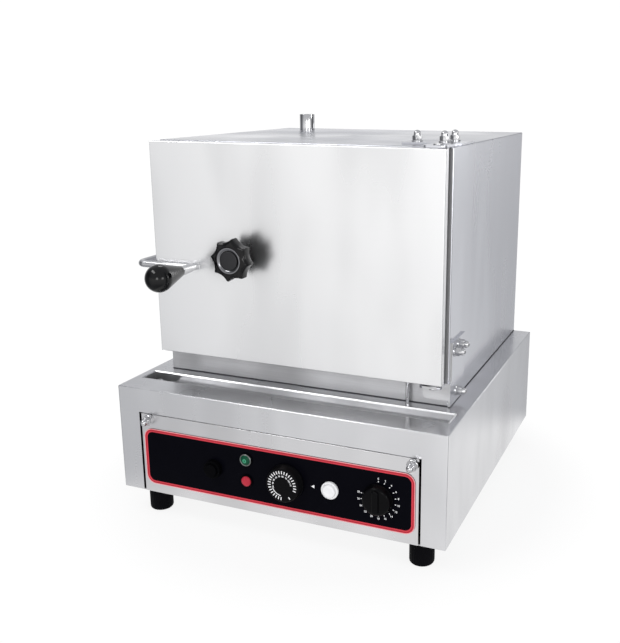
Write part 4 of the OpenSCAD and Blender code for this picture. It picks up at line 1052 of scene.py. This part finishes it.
@dataclass
class SealAndClamp(SubAssembly):
    """The seal plate with its gasket, and the star knob that draws it in."""

    points: int = 8
    tip: float = 29.0
    hollow: float = 23.0
    bite: float = 4.6
    thick: float = 19.0
    hub: float = 15.0
    crest: float = 16.7
    cap: float = 12.4
    lean: float = -8.0
    blend: float = 2.6
    steps: int = 192

    def build(self) -> None:
        """Makes the seal plate, gasket, screw and knob."""
        fine_copy("seal_plate", INSIDE_SHEET, "seal", edge=0.5)
        fine_copy("door_gasket", GREY_SILICONE, "seal", edge=1.2)
        fine_copy("screw_retainer", BRIGHT_STEEL, "clamp", edge=0.4)
        dress_solid("clamp_screw", BRIGHT_STEEL)
        self.star_knob()

    def star(self, angle: float) -> float:
        """Returns the star's outer radius at an angle, with its points and hollows blended."""
        pitch = 2 * math.pi / self.points
        turn = (angle - math.radians(self.lean)) % pitch - pitch / 2
        far = self.tip + self.hollow - self.bite
        under = self.hollow ** 2 - (far * math.sin(turn)) ** 2
        inner = far * math.cos(turn) - math.sqrt(under) if under > 0 else self.tip + 3.0
        return -math.log(math.exp(-inner * self.blend) + math.exp(-self.tip * self.blend)) / self.blend

    def star_knob(self) -> None:
        """Makes the knob: hub, rounded points, a ring whose metal finish paints a sheen, and a flat cap set
        in a groove.
        """
        box = NodeBox.of("star_knob")
        place = Facing.FRONT.at(box.front_centre())
        hub_len = box.size.y - self.thick
        back = -self.thick

        def ring(height: float, inset: float, share: float = 1.0, round_r: float = 0.0) -> list[Vector]:
            """Returns one ring between the star, moved in, and a circle."""
            points = []
            for step in range(self.steps):
                angle = 2 * math.pi * step / self.steps
                far = share * (self.star(angle) - inset) + (1 - share) * round_r
                points.append(placed(place, *polar(far, angle), height))
            return points

        def rounds(rows: Points) -> list[list[Vector]]:
            """Returns plain round rings, from the height and radius of each."""
            return [ring(height, 0.0, 0.0, radius) for height, radius in rows]

        wall = [ring(back, 6.0, 0.5, self.hub)]
        wall += [ring(height, inset) for height, inset in (
            (back + 0.2, 3.0), (back + 0.9, 1.3), (back + 2.2, 0.4), (back + 4.2, 0.0), (-5.6, 0.0),
            (-3.8, 0.35), (-2.3, 1.2), (-1.2, 2.6), (-0.7, 4.4))]
        hub = [[placed(place, 0, 0, back - hub_len)]]
        hub += rounds(((back - hub_len, self.hub - 0.8), (back - hub_len + 0.8, self.hub),
                       (back - 0.8, self.hub), (back, self.hub + 0.9)))
        crest = self.crest
        face = rounds(((-0.9, crest + 3.4), (-0.6, crest + 1.2), (-0.1, crest + 0.5), (0.0, crest),
                       (-0.15, crest - 0.6), (-1.3, 13.6), (-1.9, 13.2), (-2.0, self.cap - 1.0)))
        face.append([placed(place, 0, 0, -2.0)])
        Shape().rings(hub + wall + face).piece("star_knob_dressed", BLACK_GLOSS, "clamp", ["star_knob"])
        cap = [(0, -2.4), (self.cap, -2.4), (self.cap, -1.2), (self.cap - 0.5, -0.75), (self.cap - 1.4, -0.6),
               (0, -0.5)]
        Shape().turned(cap, place, 96).piece("star_knob_cap", DARK_PLASTIC, "clamp")
        # The ring's grey metal finish is a painted sheen on the plastic knob.
        trim = [(13.3, -2.1), (13.3, -1.45), (13.9, -0.9), (15.7, 0.0), (16.6, 0.1), (17.3, -0.1),
                (17.3, -0.9), (15.0, -2.1)]
        Shape().turned(trim, place, 128, closed=True).piece("star_knob_ring", KNOB_SHEEN, "clamp")


@dataclass
class LatchHandle(SubAssembly):
    """The latch rod with its ball grip."""

    neck: float = 7.5
    ball_steps: int = 16

    def build(self) -> None:
        """Makes the rod and the grip."""
        fine_copy("latch_rod", SATIN_STEEL, "latch", edge=0.5)
        box = NodeBox.of("latch_grip")
        ball, length, neck = box.size.x / 2, box.size.y, self.neck
        middle = length - ball
        lean = math.asin((ball - neck) / middle)
        place = Facing.FRONT.at((box.centre.x, box.high.y, box.centre.z))
        sphere = [(ball * math.cos(a), middle + ball * math.sin(a))
                  for a in (-lean + (math.pi / 2 + lean) * step / self.ball_steps
                            for step in range(self.ball_steps))]
        profile = [(0, 0), (neck - 0.8, 0), (neck - 0.1, 0.5), (neck + 0.15, 1.2), *sphere, (0, length)]
        Shape().turned(profile, place, 128).piece("latch_grip_dressed", BLACK_GLOSS, "latch", ["latch_grip"])


# Studio


@dataclass(frozen=True)
class Lamp:
    """One soft lamp that looks at the object, with its place and size in metres and its power in watts."""

    name: str
    place: tuple[float, float, float]
    size: tuple[float, float]
    power: float
    aim: tuple[float, float, float] = (0, 0, 0.3)

    def hang(self) -> None:
        """Puts the lamp in the scene."""
        data = bpy.data.lights.new(self.name, "AREA")
        data.shape, data.energy = "RECTANGLE", self.power
        data.size, data.size_y = self.size
        lamp = stand(self.name, data)
        lamp.location = self.place
        lamp.rotation_euler = (Vector(self.aim) - Vector(self.place)).to_track_quat("-Z", "Y").to_euler()


@dataclass
class Studio:
    """The camera, the soft light and the pale floor."""

    camera_at: Vector = field(default_factory=lambda: Vector((0.501811, -1.137432, 0.591712)))
    camera_turn: Vector = field(default_factory=lambda: Vector((1.792525, 0.345584, -0.268176)))
    focal: float = 840.735
    image: tuple[int, int] = (620, 643)
    image_centre: tuple[float, float] = (373.046, 300.62)
    floor_radius: float = 0.46
    floor_near: float = 0.3
    floor_white: float = 0.86
    floor_tone: float = 0.86
    ramp_top: float = 2.0
    overhead: float = 0.75
    nadir: float = 0.5
    tones: Points = (
        (-180, 1.16), (-165, 1.16), (-150, 1.0), (-138, 0.78), (-122, 0.25), (-88, 0.2), (-66, 0.8),
        (-52, 1.02), (-3, 1.02), (3, 0.42), (10, 0.36), (17, 0.92), (32, 0.85), (44, 0.2), (80, 0.2),
        (100, 1.1), (150, 1.18), (180, 1.16))
    lamps: tuple[Lamp, ...] = (
        Lamp("key_lamp", (-1.2, -1.35, 2.45), (1.7, 0.55), 22.0),
        Lamp("near_window", (0.6, -2.3, 0.75), (0.6, 0.6), 6.5),
        Lamp("right_window", (1.84, -1.18, 0.75), (0.6, 0.6), 6.0),
        Lamp("edge_window", (1.5, 2.6, 0.5), (0.5, 0.3), 1.4),
        Lamp("side_window", (1.95, 0.5, 1.2), (0.36, 0.36), 4.4))

    def build(self) -> None:
        """Places the camera, floor, surround and lamps."""
        bpy.context.scene.view_settings.view_transform = "Standard"
        self.camera()
        self.floor()
        self.surround()
        for lamp in self.lamps:
            lamp.hang()

    def camera(self) -> None:
        """Places the camera at the photograph's viewpoint."""
        data = bpy.data.cameras.new("photo_camera")
        tall = max(self.image)
        data.sensor_width = 36.0
        data.lens = self.focal / tall * data.sensor_width
        data.shift_x = (self.image[0] / 2 - self.image_centre[0]) / tall
        data.shift_y = (self.image_centre[1] - self.image[1] / 2) / tall
        data.clip_start = 0.05
        camera = stand("photo_camera", data)
        right, down, ahead = Matrix.Rotation(self.camera_turn.length, 3, self.camera_turn)
        placing = Matrix((right, -down, -ahead)).transposed().to_4x4()
        placing.translation = self.camera_at
        camera.matrix_world = placing
        bpy.context.scene.camera = camera

    def floor(self) -> None:
        """Lays the pale floor, white to the eye and in reflections, with the object's soft shadow."""
        shape, wide = Shape(), self.floor_radius / MM
        shape.turned([(0, 0), (wide / 2, 0), (wide, 0)], Matrix.Identity(4), 96)
        data = bpy.data.meshes.new("floor")
        lid = [face for face in shape.mesh.faces if len(face.verts) > 4]
        bmesh.ops.delete(shape.mesh, geom=lid, context="FACES_ONLY")
        shape.mesh.to_mesh(data)
        shape.mesh.free()
        material = bpy.data.materials.new("pale_floor")
        material.use_nodes = True
        tree = Tree(material.node_tree)
        material.node_tree.nodes.remove(material.node_tree.nodes["Principled BSDF"])
        rays = tree.node("LightPath").outputs
        seen = tree.math("MAXIMUM", tree.math("MAXIMUM", rays["Is Camera Ray"], rays["Is Glossy Ray"]),
                         rays["Is Transmission Ray"])
        away = tree.node("VectorMath", {0: tree.node("TexCoord").outputs["Object"]}, operation="LENGTH")
        reach = away.outputs["Value"]
        clear = tree.spread(reach, (self.floor_near, self.floor_radius * 0.9), (self.floor_white, 1.0),
                            smooth=True)
        edge = tree.spread(reach, (self.floor_radius * 0.8, self.floor_radius), smooth=True)
        white = tree.node("Emission", {"Color": (1, 1, 1, 1), "Strength": 1.0})
        matt = tree.node("BsdfDiffuse", {"Color": (*[self.floor_tone] * 3, 1)})
        mixed = tree.node("MixShader", {0: tree.math("MULTIPLY", seen, clear), 1: matt.outputs[0],
                                        2: white.outputs[0]})
        nothing = tree.node("BsdfTransparent").outputs[0]
        faded = tree.node("MixShader", {0: edge, 1: mixed.outputs[0], 2: nothing})
        tree.feed(material.node_tree.nodes["Material Output"], {"Surface": faded.outputs[0]})
        data.materials.append(material)
        floor = stand("floor", data)

    def surround(self) -> None:
        """Paints the soft surround: white behind, bright in front, greyer to the sides."""
        world = bpy.data.worlds.new("studio")
        bpy.context.scene.world = world
        world.use_nodes = True
        tree = Tree(world.node_tree)
        way = tree.node("SeparateXYZ", {0: tree.node("TexCoord").outputs["Generated"]}).outputs
        turn = tree.spread(tree.math("ARCTAN2", way["X"], way["Y"]), (-math.pi, math.pi))
        stops = [(degrees / 360 + 0.5, tone / self.ramp_top) for degrees, tone in self.tones]
        around = tree.ramp(turn, stops)
        ahead = tree.spread(way["Y"], (-0.3, 0.3), (1.0, 0.0))
        lift = tree.spread(way["Z"], (0.0, 0.3), (1.0, 0.6), smooth=True)
        sink = tree.spread(way["Z"], (-0.4, 0.05), (0.86, 1.14))
        beside = tree.spread(way["X"], (-0.1, 0.1), (0.64, 0.85), smooth=True)
        high = tree.spread(way["Z"], (0.1, 0.32), smooth=True)
        rear = tree.between(high, 1.0, beside)
        dim = tree.between(ahead, rear, tree.math("MULTIPLY", lift, sink))
        level = tree.math("MULTIPLY", tree.math("MULTIPLY", around, self.ramp_top), dim)
        above = tree.spread(way["Z"], (0.35, 0.9), smooth=True)
        level = tree.between(above, level, self.overhead)
        below = tree.math("MULTIPLY", tree.spread(way["Z"], (-0.4, -0.85), smooth=True), ahead)
        level = tree.between(below, level, self.nadir)
        colour = tree.tint(tree.spread(level, (0.5, 1.0)), (0.93, 0.95, 1.0), (1.0, 1.0, 1.0))
        tree.feed(world.node_tree.nodes["Background"], {"Color": colour, "Strength": level})


def main() -> None:
    """Builds the studio and every sub-assembly."""
    logging.basicConfig(level=logging.INFO, format="%(name)s: %(message)s")
    Studio().build()
    for group in (BaseHousing, ControlPanel, Cabinet, CookingChamber, Fasteners, Hinges, DoorLeaf,
                  SealAndClamp, LatchHandle):
        group().build()
        log.info("%s is done", group.__name__)


if __name__ == "__main__":
    main()
